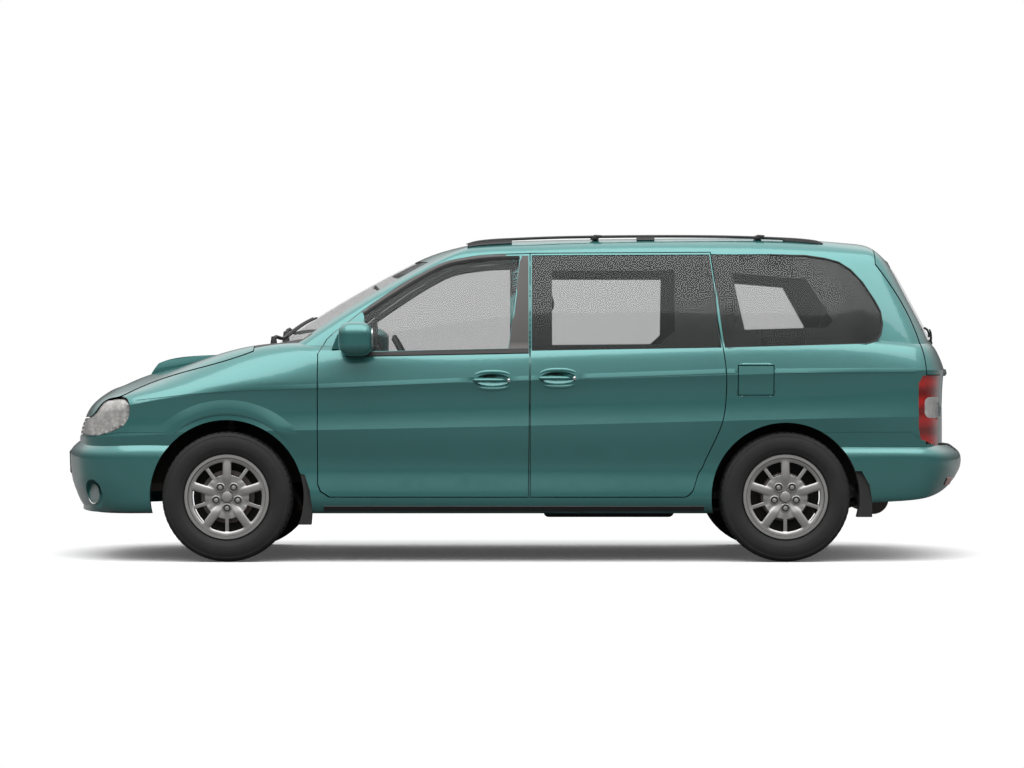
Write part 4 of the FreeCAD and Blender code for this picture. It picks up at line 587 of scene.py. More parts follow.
    @classmethod
    def copied(cls, name: str, source: bpy.types.Object) -> "Work":
        """Start from a copy of a solid, which was imported as loose triangles."""
        return cls(source).twin(name).merged(0.00002, False)

    # Edit mode

    def alone(self) -> "Work":
        """Go to object mode and select this piece alone."""
        self.leave()
        bpy.ops.object.select_all(action="DESELECT")
        self.thing.select_set(True)
        bpy.context.view_layer.objects.active = self.thing
        return self

    def enter(self) -> "Work":
        """Go into edit mode on this piece alone."""
        self.alone()
        bpy.ops.object.mode_set(mode="EDIT")
        return self

    def leave(self) -> "Work":
        """Go back to object mode."""
        if bpy.context.mode != "OBJECT":
            bpy.ops.object.mode_set(mode="OBJECT")
        return self

    def whole(self) -> "Work":
        """Go into edit mode with the whole mesh selected."""
        self.enter()
        bpy.ops.mesh.select_all(action="SELECT")
        return self

    def _picked(self, kind: str, test: Callable[[bmesh.types.BMFace | bmesh.types.BMEdge], bool]) -> "Work":
        """Select the faces or edges that pass a test."""
        if bpy.context.mode == "OBJECT":
            self.enter()
        bpy.ops.mesh.select_mode(type=kind)
        bpy.ops.mesh.select_all(action="DESELECT")
        mesh = bmesh.from_edit_mesh(self.thing.data)
        for part in mesh.faces if kind == "FACE" else mesh.edges:
            part.select_set(bool(test(part)))
        bmesh.update_edit_mesh(self.thing.data)
        return self

    def faces(self, test: Callable[[bmesh.types.BMFace], bool]) -> "Work":
        """Select the faces that pass a test."""
        return self._picked("FACE", test)

    def edges(self, test: Callable[[bmesh.types.BMEdge], bool]) -> "Work":
        """Select the edges that pass a test."""
        return self._picked("EDGE", test)

    def extrude(self, by: Point) -> "Work":
        """Extrude what is selected."""
        bpy.ops.mesh.extrude_region_move(TRANSFORM_OT_translate={"value": tuple(by)})
        return self

    def inset(self, width: float, depth: float = 0.0) -> "Work":
        """Inset the selected faces."""
        bpy.ops.mesh.inset(thickness=width, depth=depth)
        return self

    def bevel(self, width: float, rounds: int = 2) -> "Work":
        """Bevel the selected edges."""
        bpy.ops.mesh.bevel(offset=width, segments=rounds, affect="EDGES", clamp_overlap=True)
        return self

    def erase(self) -> "Work":
        """Delete the selected faces."""
        bpy.ops.mesh.delete(type="FACE")
        return self

    # Object mode

    def merged(self, reach: float = 0.00001, outward: bool = True) -> "Work":
        """Merge the points closer than a reach, and turn the faces outwards."""
        self.whole()
        bpy.ops.mesh.remove_doubles(threshold=reach)
        if outward:
            bpy.ops.mesh.normals_make_consistent(inside=False)
        return self.leave()

    def sealed(self) -> "Work":
        """Merge doubles, close open ends and turn the faces outwards."""
        self.merged(outward=False).whole()
        bpy.ops.mesh.fill_holes(sides=0)
        return self.merged()

    def divided(self, cuts: int) -> "Work":
        """Cut every edge into equal parts."""
        self.whole()
        bpy.ops.mesh.subdivide(number_cuts=cuts)
        return self.leave()

    def moved(self, transform: Matrix) -> "Work":
        """Move the whole mesh."""
        self.leave()
        self.thing.data.transform(transform)
        if transform.determinant() < 0:
            self.thing.data.flip_normals()
        return self

    def thick(self, wall: float, offset: float = 0.0) -> "Work":
        """Give a sheet its wall."""
        return self.modify("SOLIDIFY", thickness=wall, offset=offset, use_even_offset=True)

    def rounded(self, width: float, rounds: int = 2, angle: float = 35.0) -> "Work":
        """Round the sharp edges."""
        return self.modify("BEVEL", width=width, segments=rounds, limit_method="ANGLE", angle_limit=math.radians(angle))

    def softened(self, levels: int = 2) -> "Work":
        """Subdivide into a smooth form."""
        return self.modify("SUBSURF", levels=levels, render_levels=levels)

    def modify(self, kind: str, **settings: object) -> "Work":
        """Add a modifier and apply it."""
        self.alone()
        modifier = self.thing.modifiers.new(kind.title(), kind)
        for key, value in settings.items():
            setattr(modifier, key, value)
        bpy.ops.object.modifier_apply(modifier=modifier.name)
        return self

    def shade(self, angle: float = 35.0) -> "Work":
        """Shade smooth up to an angle."""
        self.alone()
        bpy.ops.object.shade_smooth_by_angle(angle=math.radians(angle))
        return self

    def paint(self, *finishes: Finish) -> "Work":
        """Give the piece its finishes, in slot order."""
        self.leave()
        slots = self.thing.data.materials
        for number, finish in enumerate(finishes):
            if number < len(slots):
                slots[number] = finish.build()
            else:
                slots.append(finish.build())
        return self.slotted(finishes[0].slot)

    def slotted(self, slot: str) -> "Work":
        """Name the record's slot that the piece shows."""
        self.slot = slot
        return self

    def only(self, finish: Finish) -> "Work":
        """Give the whole piece one finish in place of all it had."""
        self.thing.data.materials.clear()
        for face in self.thing.data.polygons:
            face.material_index = 0
        return self.paint(finish)

    def on(self, body: str, *replaced: str) -> bpy.types.Object:
        """Let the piece ride on a body, and stand for CAD nodes."""
        self.leave()
        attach(self.thing, body)
        if replaced:
            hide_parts(*replaced)
        return self.thing

    def twin(self, name: str, transform: Matrix | None = None) -> "Work":
        """A copy with its own mesh, moved by the transform if one is given."""
        self.leave()
        work = Work(linked(name, self.thing.data.copy()))
        return work if transform is None else work.moved(transform)


def linked(name: str, data: bpy.types.ID) -> bpy.types.Object:
    """An object with the given data, put in the scene."""
    thing = bpy.data.objects.new(name, data)
    bpy.context.scene.collection.objects.link(thing)
    return thing


def joined(name: str, works: Iterable[Work]) -> Work:
    """Join pieces into one mesh."""
    works = list(works)
    works[0].leave()
    bpy.ops.object.select_all(action="DESELECT")
    for work in works:
        work.thing.select_set(True)
    bpy.context.view_layer.objects.active = works[0].thing
    bpy.ops.object.join()
    works[0].thing.name = name
    return works[0]


class Skin:
    """The outer surface of some solids, found by rays."""

    def __init__(self, things: Iterable[bpy.types.Object]) -> None:
        points, faces = [], []
        for thing in things:
            start = len(points)
            points += [vertex.co.copy() for vertex in thing.data.vertices]
            faces += [[start + number for number in face.vertices] for face in thing.data.polygons]
        self.tree = BVHTree.FromPolygons(points, faces)

    def hit(self, start: Point, ahead: Point) -> tuple[Vector, Vector]:
        """The first point and its normal along a ray, trying beside it where the ray meets a gap."""
        for shift in (0.0, 0.007, -0.007, 0.014, -0.014):
            place = Vector(start) + Vector([0.0 if value else shift for value in ahead])
            found = self.tree.ray_cast(place, Vector(ahead))
            if found[0] is not None:
                normal = found[1] if found[1].dot(Vector(ahead)) < 0 else -found[1]
                return found[0] - (place - Vector(start)), normal
        spot, normal, _, _ = self.tree.find_nearest(Vector(start))
        return spot, normal

    def side(self, x: float, z: float) -> tuple[Vector, Vector]:
        """The left flank at a place."""
        return self.hit((x, -1.6, z), (0, 1, 0))

    def front(self, y: float, z: float) -> tuple[Vector, Vector]:
        """The nose at a place."""
        return self.hit((-3.0, y, z), (1, 0, 0))

    def rear(self, y: float, z: float) -> tuple[Vector, Vector]:
        """The tail at a place."""
        return self.hit((3.0, y, z), (-1, 0, 0))

    def top(self, x: float, y: float) -> tuple[Vector, Vector]:
        """The top at a place."""
        return self.hit((x, y, 2.2), (0, 0, -1))

    def strip(
        self, name: str, path: Sequence[tuple[float, float]], section: Sequence[tuple[float, float]],
        find: Callable[[float, float], tuple[Vector, Vector]], loop: bool = False
    ) -> Work:
        """A strip that lies on the surface along a path.

        Args:
            name: The piece's name.
            path: Places in the plane that the finder takes.
            section: Offsets across the path with their heights above the surface.
            find: One of this surface's finders.
            loop: Whether the path closes on itself.

        Returns:
            The strip.
        """
        flat = [Vector(place) for place in path]
        last = len(flat) - 1
        rows = []
        for number, place in enumerate(flat):
            before = flat[number - 1] if number or loop else place
            after = flat[(number + 1) % (last + 1)] if number < last or loop else place
            ahead = (after - before).normalized()
            across = Vector((-ahead.y, ahead.x))
            row = []
            for offset, height in section:
                spot, normal = find(*(place + across * offset))
                row.append(spot + normal * height)
            rows.append(row)
        if loop:
            rows.append(rows[0])
        strip = Work.grid(
            name, len(rows) - 1, len(section) - 1,
            lambda u, v: rows[round(u * (len(rows) - 1))][round(v * (len(section) - 1))])
        strip.merged()
        _, normal = find(*flat[0])
        if sum(face.normal.dot(normal) for face in strip.thing.data.polygons) < 0:
            strip.thing.data.flip_normals()
        return strip.shade(45.0)


def smooth(points: Sequence[Point], parts: int = 6) -> list[tuple[float, ...]]:
    """A smooth path through points, with some parts between each two."""
    last = len(points) - 1
    made = []
    for number in range(last):
        a, b, c, d = (Vector(points[min(max(number + shift, 0), last)]) for shift in (-1, 0, 1, 2))
        for part in range(parts):
            t = part / parts
            made.append(tuple(
                0.5 * (2 * b + (c - a) * t + (2 * a - 5 * b + 4 * c - d) * t * t + (3 * b - a - 3 * c + d) * t ** 3)))
    return made + [tuple(points[-1])]


def run(start: float, end: float, steps: int) -> list[float]:
    """Evenly spaced values from the start to the end."""
    return [start + (end - start) * step / steps for step in range(steps + 1)]


def oval(angle: float, half_x: float, half_y: float, power_x: float = 0.6, power_y: float = 0.6) -> tuple[float, float]:
    """A point of an oval at an angle. Powers under 1 square its sides."""
    along, over = math.cos(angle), math.sin(angle)
    return (half_x * abs(along) ** power_x * math.copysign(1, along),
            half_y * abs(over) ** power_y * math.copysign(1, over))


def axle_end(side: Side, x: float) -> Matrix:
    """Where a wheel part that was made for the left goes at a side's end of an axle."""
    place = Matrix.Translation((x, side.value * WHEEL_Y, AXLE_Z))
    return place if side is Side.LEFT else place @ Matrix.Rotation(math.pi, 4, "Z")


def mirror_y() -> Matrix:
    """The mirror image across the middle plane."""
    return Matrix.Scale(-1, 4, Vector((0, 1, 0)))


def spun(angle: float) -> Matrix:
    """A turn about the Y axis, in degrees."""
    return Matrix.Rotation(math.radians(angle), 4, "Y")


# ---- Studio


@dataclass
class Studio:
    """Floor, light and the camera at the photograph's place."""

    camera_at: Point = (-0.0195, -16.9, 0.928)
    lens: float = 108.0
    floor_half: float = 120.0
    floor_tone: Colour = (0.93, 0.93, 0.93)
    bounce_tone: Colour = (0.12, 0.12, 0.12)
    pool: tuple[float, float] = (3.4, 2.6)
    near_white: float = 0.06
    horizon: float = 0.06
    zenith: float = 1.45
    zenith_from: float = 0.75

    def build(self) -> None:
        """Make the studio."""
        self.camera()
        self.floor()
        self.world()
        self.lamps()

    def camera(self) -> None:
        """Place the camera, level and square to the vehicle's left side."""
        data = bpy.data.cameras.new("camera")
        data.lens, data.sensor_width = self.lens, 36.0
        data.clip_end = 400.0
        camera = linked("camera", data)
        camera.location = self.camera_at
        camera.rotation_euler = (math.pi / 2, 0.0, 0.0)
        bpy.context.scene.camera = camera

    def floor(self) -> None:
        """Lay a wide pale floor."""
        half = self.floor_half
        work = Work.grid("studio_floor", 2, 2, lambda u, v: ((u - 0.5) * 2 * half, (v - 0.5) * 2 * half, 0.0))
        shader = Shader("studio_floor")
        seen, mirrored, through = shader.rays("Camera", "Glossy", "Transmission")
        x, y, _ = shader.parts(shader.place())
        across, along = (value.maths("POWER", value.size(), 2.0) for value in (x / self.pool[0], y / self.pool[1]))
        reach = across + along
        far = (reach.maths("SQRT", reach) - 0.95).clamped()
        shader.set(
            Base_Color=shader.mixed(seen, self.bounce_tone, self.floor_tone), Roughness=0.9, Specular_IOR_Level=0.1)
        share = (seen + through).clamped() * (far + self.near_white).clamped() + mirrored * far * 0.12
        shader.feed(shader.output.inputs[0], shader.node("ShaderNodeMixShader", None, {
            0: share.clamped(), 1: Wire(shader, shader.surface.outputs[0]),
            2: shader.node("ShaderNodeEmission", None, {"Color": WHITE, "Strength": 1.0})}))
        work.thing.data.materials.append(shader.material)

    def world(self) -> None:
        """A surround that is brightest overhead, and white where it is seen directly or through glass."""
        world = bpy.data.worlds.new("studio")
        bpy.context.scene.world = world
        world.use_nodes = True
        graph = Graph(world.node_tree)
        seen, mirrored, through = graph.rays("Camera", "Glossy", "Transmission")
        place = graph.node("ShaderNodeTexCoord", result="Generated")
        light = graph.node("ShaderNodeMapRange", {"interpolation_type": "SMOOTHSTEP"}, {
            0: graph.node("ShaderNodeSeparateXYZ", None, {0: place}, 2), 1: 0.0, 2: self.zenith_from, 3: self.horizon,
            4: self.zenith})
        share = (mirrored * 0.05 + (seen + through).clamped()).clamped()
        graph.feed(graph.make("ShaderNodeOutputWorld").inputs[0], graph.node("ShaderNodeMixShader", None, {
            0: share, 1: graph.node("ShaderNodeBackground", None, {0: WHITE, 1: light}),
            2: graph.node("ShaderNodeBackground", None, {0: WHITE, 1: 1.0})}))

    def lamps(self) -> None:
        """One wide soft lamp high on the near side, and a weak fill."""
        self.lamp("top_light", (0.0, -3.6, 7.0), (0.0, 0.2, 0.4), 13.0, 7.0, 520.0)
        self.lamp("near_fill", (-3.0, -10.0, 3.0), (0.0, 0.0, 0.8), 8.0, 3.0, 8.0)

    def lamp(self, name: str, place: Point, aim: Point, width: float, depth: float, power: float) -> None:
        """Hang one rectangular lamp that points at a place."""
        data = bpy.data.lights.new(name, "AREA")
        data.shape, data.size, data.size_y, data.energy = "RECTANGLE", width, depth, power
        lamp = linked(name, data)
        lamp.location = place
        lamp.rotation_euler = (Vector(aim) - Vector(place)).to_track_quat("-Z", "Y").to_euler()


# ---- Body panels


@dataclass
class Panels:
    """The painted panels, each a copy of its solid with paint outside, trim inside and a dark band under glass."""

    middle: Point = (0.1, 0.0, 0.75)
    cabin_front: float = -1.20
    cabin_floor: float = 0.26
    underside: float = 0.31
    facing: float = 0.25
    downward: float = -0.85
    glass_reach: float = 0.15
    frit_reach: float = 0.012

    def build(self, nodes: dict) -> None:
        """Dress every painted panel.

        Args:
            nodes: The CAD nodes by name.
        """
        glass = [nodes[name] for name in ("side_windows", "windscreen", "tailgate_window")]
        for side in Side:
            glass.append(nodes["door_window_" + side.word])
            self.panel(nodes["wing_" + side.word], side.value, "body", [])
            self.panel(nodes["sliding_door_" + side.word], side.value, "body", glass)
            self.panel(nodes["body_side_" + side.word], side.value, "body", glass)
            self.panel(nodes["front_door_" + side.word], side.value, "front_door_" + side.word, glass)
        for name, body, panes in (
                ("roof", "body", glass), ("bonnet", "bonnet", []), ("tailgate", "tailgate", glass),
                ("front_bumper", "body", []), ("rear_bumper", "body", [])):
            self.panel(nodes[name], 0, body, panes)
        self.panel(nodes["fuel_flap"], Side.LEFT.value, "fuel_flap", [])

    def panel(self, node: bpy.types.Object, side: int, body: str, glass: list[bpy.types.Object]) -> None:
        """Dress one panel.

        Args:
            node: The CAD node.
            side: -1 or 1 on a flank, 0 across the vehicle.
            body: The body it rides on.
            glass: Panes that may lie over it.
        """
        work = Work(node).twin("dressed_" + node.name)
        panes = [self.tree(pane) for pane in glass]
        for face in work.thing.data.polygons:
            centre, normal = face.center, face.normal
            outward = Vector((0.0, side, 0.0)) if side else (centre - Vector(self.middle)).normalized()
            face.material_index = 0
            if normal.dot(outward) > self.facing:
                for pane in panes:
                    hit = pane.ray_cast(centre + normal * 0.0002, normal, self.glass_reach)
                    if hit[0] is not None:
                        face.material_index = 2 if hit[3] < self.frit_reach else 3
                        break
            elif normal.dot(outward) < -self.facing and self.inside(centre):
                face.material_index = 1
            if normal.z < self.downward and centre.z < self.underside:
                face.material_index = 3
        work.paint(PAINT, CABIN_TRIM, FRIT, BLACK_TRIM).on(body, node.name)
        LOG.info("panel %s", work.thing.name)

    def inside(self, place: Vector) -> bool:
        """Whether a place lies in the cabin rather than under the bonnet or outside."""
        return place.x > self.cabin_front and place.z > self.cabin_floor

    @staticmethod
    def tree(pane: bpy.types.Object) -> BVHTree:
        """The pane as a tree for rays."""
        mesh = pane.data
        return BVHTree.FromPolygons([v.co for v in mesh.vertices], [list(p.vertices) for p in mesh.polygons])


# ---- Flank trim


@dataclass
class FlankTrim:
    """Handles, seals, mouldings, pillar covers, arch flares and mirrors of both flanks."""

    lift: float = 0.0022
    seal_half: float = 0.006
    handle_half: tuple[float, float] = (0.104, 0.0445)
    handle_ring: float = 0.0165
    flare_inner: float = 0.428
    flare_outer: float = 0.505
    flare_height: float = 0.0075
    flare_start: float = 134.0
    flare_end: float = 39.0
    flare_fade: float = 22.0
    bar_from: float = -0.104
    bar_long: float = 0.166
    bar_bow: float = 0.016
    lock_x: float = 0.086
    front_glass: tuple[tuple[float, float], ...] = (
        (-0.785, 1.098), (-0.795, 1.289), (-0.640, 1.393), (-0.500, 1.480), (-0.368, 1.546), (-0.240, 1.573),
        (-0.110, 1.586), (0.021, 1.591))
    quarter_glass: tuple[tuple[float, float], ...] = (
        (1.104, 1.117), (1.830, 1.138), (1.880, 1.152), (1.908, 1.184), (1.920, 1.240), (1.910, 1.310),
        (1.882, 1.3656), (1.821, 1.462), (1.761, 1.528), (1.701, 1.568), (1.629, 1.588), (1.521, 1.604),
        (1.340, 1.609))
    crease_runs: tuple[tuple[str, float, float], ...] = (
        ("wing", -1.975, -1.034), ("door", -1.024, 0.067), ("sliding", 0.081, 1.088), ("quarter", 1.098, 2.085))
    crease_line: tuple[tuple[float, float], ...] = (
        (-1.975, 0.845), (-1.70, 0.876), (-1.40, 0.897), (-1.03, 0.907), (-0.30, 0.938), (0.07, 0.949),
        (1.09, 0.985), (2.09, 0.991))
    flap_low: tuple[float, float] = (1.158, 0.872)
    flap_high: tuple[float, float] = (1.340, 1.022)
    flap_corner: float = 0.030
    handles: tuple[tuple[str, float, float], ...] = (("front", -0.120, 0.945), ("sliding", 0.221, 0.956))

    def build(self, nodes: dict) -> None:
        """Make the trim for the left and mirror it.

        Args:
            nodes: The CAD nodes by name.
        """
        names = ["front_door_left", "sliding_door_left", "body_side_left", "wing_left", "door_window_left"]
        skin = Skin([nodes[name] for name in names] + [nodes["side_windows"], nodes["roof"], nodes["rear_bumper"]])
        made = [
            (self.pillar_cover(skin), "front_door"), (self.frame_band(skin), "front_door"),
            (self.belt(skin), "front_door"), (self.screen_edge(skin), "body"), (self.crease(skin, 0), "body"),
            (self.crease(skin, 1), "front_door"), (self.crease(skin, 2), "body"), (self.crease(skin, 3), "body"),
            (self.flare(Skin([nodes["wing_left"], nodes["front_bumper"]])), "body"), (self.mirror_face(), "front_door"),
            (self.mirror_foot(), "front_door"), (self.sill_shade_strip(skin), "body"),
        ]
        doors = Skin([nodes["front_door_left"], nodes["sliding_door_left"]])
        for word, x, z in self.handles:
            body = "front_door" if word == "front" else "body"
            made += [(work, body) for work in self.handle(doors, word, x, z)]
        for work, body in made:
            for side in Side:
                name = "%s_%s" % (work.thing.name, side.word)
                ride = body if body == "body" else "%s_%s" % (body, side.word)
                work.twin(name, None if side is Side.LEFT else mirror_y()).slotted(work.slot).on(ride)
                LOG.info("trim %s", name)
            bpy.data.objects.remove(work.thing)
        self.flap_edge(skin).on("body")

    def pillar_cover(self, skin: Skin) -> Work:
        """The grey cover of the pillar behind the front glass."""
        def place(u: float, v: float) -> Vector:
            """A point of the cover, its edges let into the door."""
            z = 1.092 + (1.604 - 1.092) * v
            front = -0.036 + 0.060 * (z - 1.113) / 0.478
            spot, normal = skin.side(front + (0.067 - front) * u, z)
            edge = u < 0.01 or u > 0.99 or v < 0.01 or v > 0.99
            return spot + normal * (0.0002 if edge else self.lift)
        return self.facing(Work.grid("pillar_cover", 5, 18, place)).shade(40.0).paint(PILLAR_TRIM)

    @staticmethod
    def facing(work: Work) -> Work:
        """Turn a left sheet so that it faces out."""
        if sum(face.normal.y for face in work.thing.data.polygons) > 0:
            work.thing.data.flip_normals()
        return work

    def frame_band(self, skin: Skin) -> Work:
        """The grey band over the front glass with its black seal."""
        path = [place[:2] for place in smooth([(x, z, 0.0) for x, z in self.front_glass[1:]], 5)]
        band = skin.strip(
            "frame_band", path, ((0.009, 0.0003), (0.011, 0.003), (0.024, 0.003), (0.026, 0.0003)), skin.side)
        half = self.seal_half
        seal = skin.strip(
            "glass_seal", path, ((-half, 0.0003), (-half * 0.7, 0.0025), (half * 1.2, 0.0032), (half * 1.5, 0.0003)),
            skin.side)
        return joined("glass_frame", [seal.paint(SEAL), band.paint(PILLAR_TRIM)])

    def belt(self, skin: Skin) -> Work:
        """The moulding along the lower edge of the front glass."""
        path = list(zip(run(-0.882, 0.068, 20), run(1.0785, 1.0975, 20)))
        belt = skin.strip("belt_moulding", path, (
            (-0.011, 0.0002), (-0.009, 0.0050), (0.0, 0.0065), (0.012, 0.0050), (0.014, 0.0002)), skin.side)
        return belt.paint(SEAL)

    def screen_edge(self, skin: Skin) -> Work:
        """The rubber round the rear quarter glass."""
        edge = skin.strip("quarter_seal", self.quarter_glass, (
            (-0.005, 0.0002), (-0.002, 0.002), (0.003, 0.002), (0.005, 0.0002)), skin.side)
        return edge.paint(SEAL)

    def crease(self, skin: Skin, number: int) -> Work:
        """One run of the pressed line along the shoulder: front wing, front door, sliding door and rear quarter."""
        word, start, end = self.crease_runs[number]
        path = []
        for x in run(start, end, 24):
            for (x0, z0), (x1, z1) in zip(self.crease_line, self.crease_line[1:]):
                if x0 <= x <= x1 + 1e-6:
                    path.append((x, z0 + (z1 - z0) * (x - x0) / (x1 - x0)))
                    break
        crease = skin.strip(word + "_crease", path, (
            (-0.0022, -0.0004), (-0.0016, 0.0030), (0.0030, 0.0028), (0.0220, 0.0002)), skin.side)
        return crease.paint(PAINT)

    def flare(self, skin: Skin) -> Work:
        """The swollen lip over the front wheel."""
        middle = (self.flare_inner + self.flare_outer) / 2
        half = (self.flare_outer - self.flare_inner) / 2
        path = [(FRONT_AXLE_X + middle * math.cos(math.radians(angle)), AXLE_Z + middle * math.sin(math.radians(angle)))
                for angle in run(self.flare_start, self.flare_end, 40)]
        section = [(half * share, self.flare_height * height) for share, height in (
            (1.0, 0.02), (0.7, 0.35), (0.2, 0.8), (-0.3, 1.0), (-0.75, 0.95), (-0.97, 0.6), (-1.0, 0.02))]
        flare = skin.strip("arch_flare", path, section, skin.side)
        for vertex in flare.thing.data.vertices:
            angle = math.degrees(math.atan2(vertex.co.z - AXLE_Z, vertex.co.x - FRONT_AXLE_X))
            share = min(1.0, max(0.0, min(self.flare_start - angle, angle - self.flare_end) / self.flare_fade))
            spot, _ = skin.side(vertex.co.x, vertex.co.z)
            vertex.co = spot.lerp(vertex.co, share * share * (3 - 2 * share)) - Vector((0.0, 0.0002, 0.0))
        return flare.shade(60.0).paint(PAINT)

    def sill_shade_strip(self, skin: Skin) -> Work:
        """A black strip along the lower edge of the sill: painted shade where the sill turns under."""
        # Painted shade: the black strip covers the band at the sill's foot that lies in shade.
        path = [(x, 0.278) for x in run(-1.00, 0.98, 24)]
        cover = skin.strip(
            "sill_shade_strip", path, ((0.016, 0.0002), (0.014, 0.003), (-0.010, 0.004), (-0.013, 0.001)), skin.side)
        return cover.paint(BLACK_TRIM)

    def flap_edge(self, skin: Skin) -> Work:
        """The body-colour rim pressed round the fuel flap."""
        radius = self.flap_corner
        left, low = (value + radius for value in self.flap_low)
        right, high = (value - radius for value in self.flap_high)
        path = []
        for cx, cz, start in ((right, high, 0), (left, high, 90), (left, low, 180), (right, low, 270)):
            for step in range(7):
                angle = math.radians(start + 15 * step)
                path.append((cx + (radius + 0.009) * math.cos(angle), cz + (radius + 0.009) * math.sin(angle)))
        rim = skin.strip("flap_rim", path, (
            (-0.006, 0.0001), (-0.003, 0.0012), (0.003, 0.0012), (0.006, 0.0001)), skin.side, True)
        return rim.paint(PAINT)

    def handle(self, skin: Skin, word: str, x: float, z: float) -> list[Work]:
        """One door handle: raised oval rim, grip bar, a black sheet painted as shade in the finger hollow, and key
        lock.

        Args:
            skin: The door's surface.
            word: The door's word in the names.
            x: Place along the vehicle.
            z: Height.

        Returns:
            The pieces of the handle.
        """
        path = []
        for step in range(48):
            along, over = oval(2 * math.pi * step / 48, *self.handle_half, 0.75, 0.85)
            path.append((x + along, z + over))
        width = self.handle_ring / 2 + 0.0035
        rim = skin.strip(word + "_handle_rim", path, (
            (-width, 0.0001), (-width * 0.6, 0.0040), (0.0, 0.0055), (width * 0.6, 0.0045), (width, 0.0001)),
            lambda px, pz: self.level(skin, px, pz, x, z), True)
        spots = []
        for share in run(0.0, 1.0, 14):
            along = x + self.bar_from + self.bar_long * share
            bow = math.sin(math.pi * share) ** 0.5
            spot, _ = self.level(skin, along, z + 0.002, x, z)
            spots.append((along, spot.y - 0.006 - self.bar_bow * bow, z + 0.002))
        radii = [0.0035] + [0.0085 + 0.0025 * math.sin(math.pi * n / 14) for n in range(1, 14)] + [0.0035]
        bar = Work.tube(word + "_handle_bar", spots, radii, 14)
        lock_x = x + self.lock_x
        lock_y = self.level(skin, lock_x, z, x, z)[0].y
        lock = Work.turned("lock", [(0.0, 0.0), (-0.0075, 0.0), (-0.0075, 0.0075), (-0.0060, 0.0095), (0.0, 0.0105)],
                           20, closed=False)
        lock.moved(Matrix.Translation((lock_x, lock_y, z + 0.001))).shade(40.0).paint(CHROME)
        slot = Work.block(
            "lock_slot", (lock_x - 0.0035, lock_y - 0.0082, z + 0.0001),
            (lock_x + 0.0035, lock_y - 0.0070, z + 0.0019))
        lock = joined(word + "_handle_lock", [lock, slot.rounded(0.0003, 1).paint(SEAL)])
        return [rim.paint(PAINT), bar.paint(PAINT), lock, self.hollow(skin, word, x, z)]

    @staticmethod
    def level(skin: Skin, px: float, pz: float, x: float, z: float) -> tuple[Vector, Vector]:
        """The door's surface near a handle, bridged over its finger hollow."""
        low, _ = skin.side(px, z - 0.060)
        high, normal = skin.side(px, z + 0.060)
        share = (pz - (z - 0.060)) / 0.120
        return low.lerp(high, share), normal

    def hollow(self, skin: Skin, word: str, x: float, z: float) -> Work:
        """A black sheet over the upper part of the finger hollow behind the bar: painted shade where the lip and bar
        shade the hollow.
        """
        def place(u: float, v: float) -> Vector:
            """A point on a dish that lies just over the hollow's wall."""
            angle = 2 * math.pi * u
            px = x - 0.012 + 0.052 * v * math.cos(angle)
            pz = z + 0.012 + 0.019 * v * math.sin(angle)
            spot, normal = skin.side(px, pz)
            return spot + normal * 0.0012
        # Painted shade: black rubber laid 1.2 mm over the hollow's upper wall.
        dish = Work.grid(word + "_handle_hollow", 24, 4, place).merged(0.00005, False)
        return self.facing(dish).shade(60.0).paint(SEAL)

    def mirror_face(self) -> Work:
        """The mirror glass set in its housing, facing the driver."""
        low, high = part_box("mirror_left")
        centre_y, centre_z = low.y + 0.095, (high.z + 1.1) / 2 - 0.012
        points = []
        for step in range(32):
            along, over = oval(2 * math.pi * step / 32, 0.072, 0.056)
            points.append((-0.7440, centre_y + along, centre_z + over))
        return Work.slab("mirror_glass", points, (0.0045, 0.0, 0.0), 0.0012).paint(CHROME)

    def mirror_foot(self) -> Work:
        """The black gasket where the mirror meets the door."""
        points = [(-0.905, -0.925, 1.112), (-0.775, -0.925, 1.112), (-0.785, -0.920, 1.175), (-0.890, -0.920, 1.165)]
        return Work.slab("mirror_gasket", points, (0.0, 0.020, 0.0), 0.004).paint(BLACK_TRIM)


# ---- Lamps


@dataclass(frozen=True)
class TailLens(Finish):
    """Red tail lens with a clear rounded window, lighter ribs and a dark upper chamber, its shade painted as darker red
    bands.
    """

    red: Colour = (0.42, 0.012, 0.010)
    deep: Colour = (0.16, 0.006, 0.005)
    clear: Colour = (0.50, 0.50, 0.49)
    window_low: Point = (2.134, 0.751)
    window_high: Point = (2.60, 0.860)
    corner: float = 0.030

    def dress(self, shader: Shader) -> None:
        """Fill in the shader."""
        x, y, z = shader.parts(shader.place())
        over = []
        for value, low, high in zip((x, z), self.window_low, self.window_high):
            beyond = (value - (low + high) / 2).size() - ((high - low) / 2 - self.corner)
            over.append(beyond.maths("MAXIMUM", beyond, 0.0))
        away = over[0] * over[0] + over[1] * over[1]
        window = away.maths("SQRT", away) < self.corner
        ribs = (z * 520.0).sine() * 0.5 + 0.5
        cells = shader.noise(38.0, 3.0, 0.6)
        # Painted shade: darker red bands and patches stand for the lamp's chambers behind the lens; the darker cells in
        # the clear window do the same.
        chamber_shade = ((z * 62.0).sine() * 0.5 + cells - 0.1).clamped()
        red = shader.mixed(chamber_shade, self.deep, self.red)
        clear = shader.mixed(cells, self.clear, tuple(c * 0.55 for c in self.clear))
        shader.set(
            Base_Color=shader.mixed(window, red, clear), Roughness=0.10, Coat_Weight=1.0, Coat_Roughness=0.02)
        shader.bump(ribs + ((x + y) * 300.0).sine() * 0.5, 0.0003, 0.3)


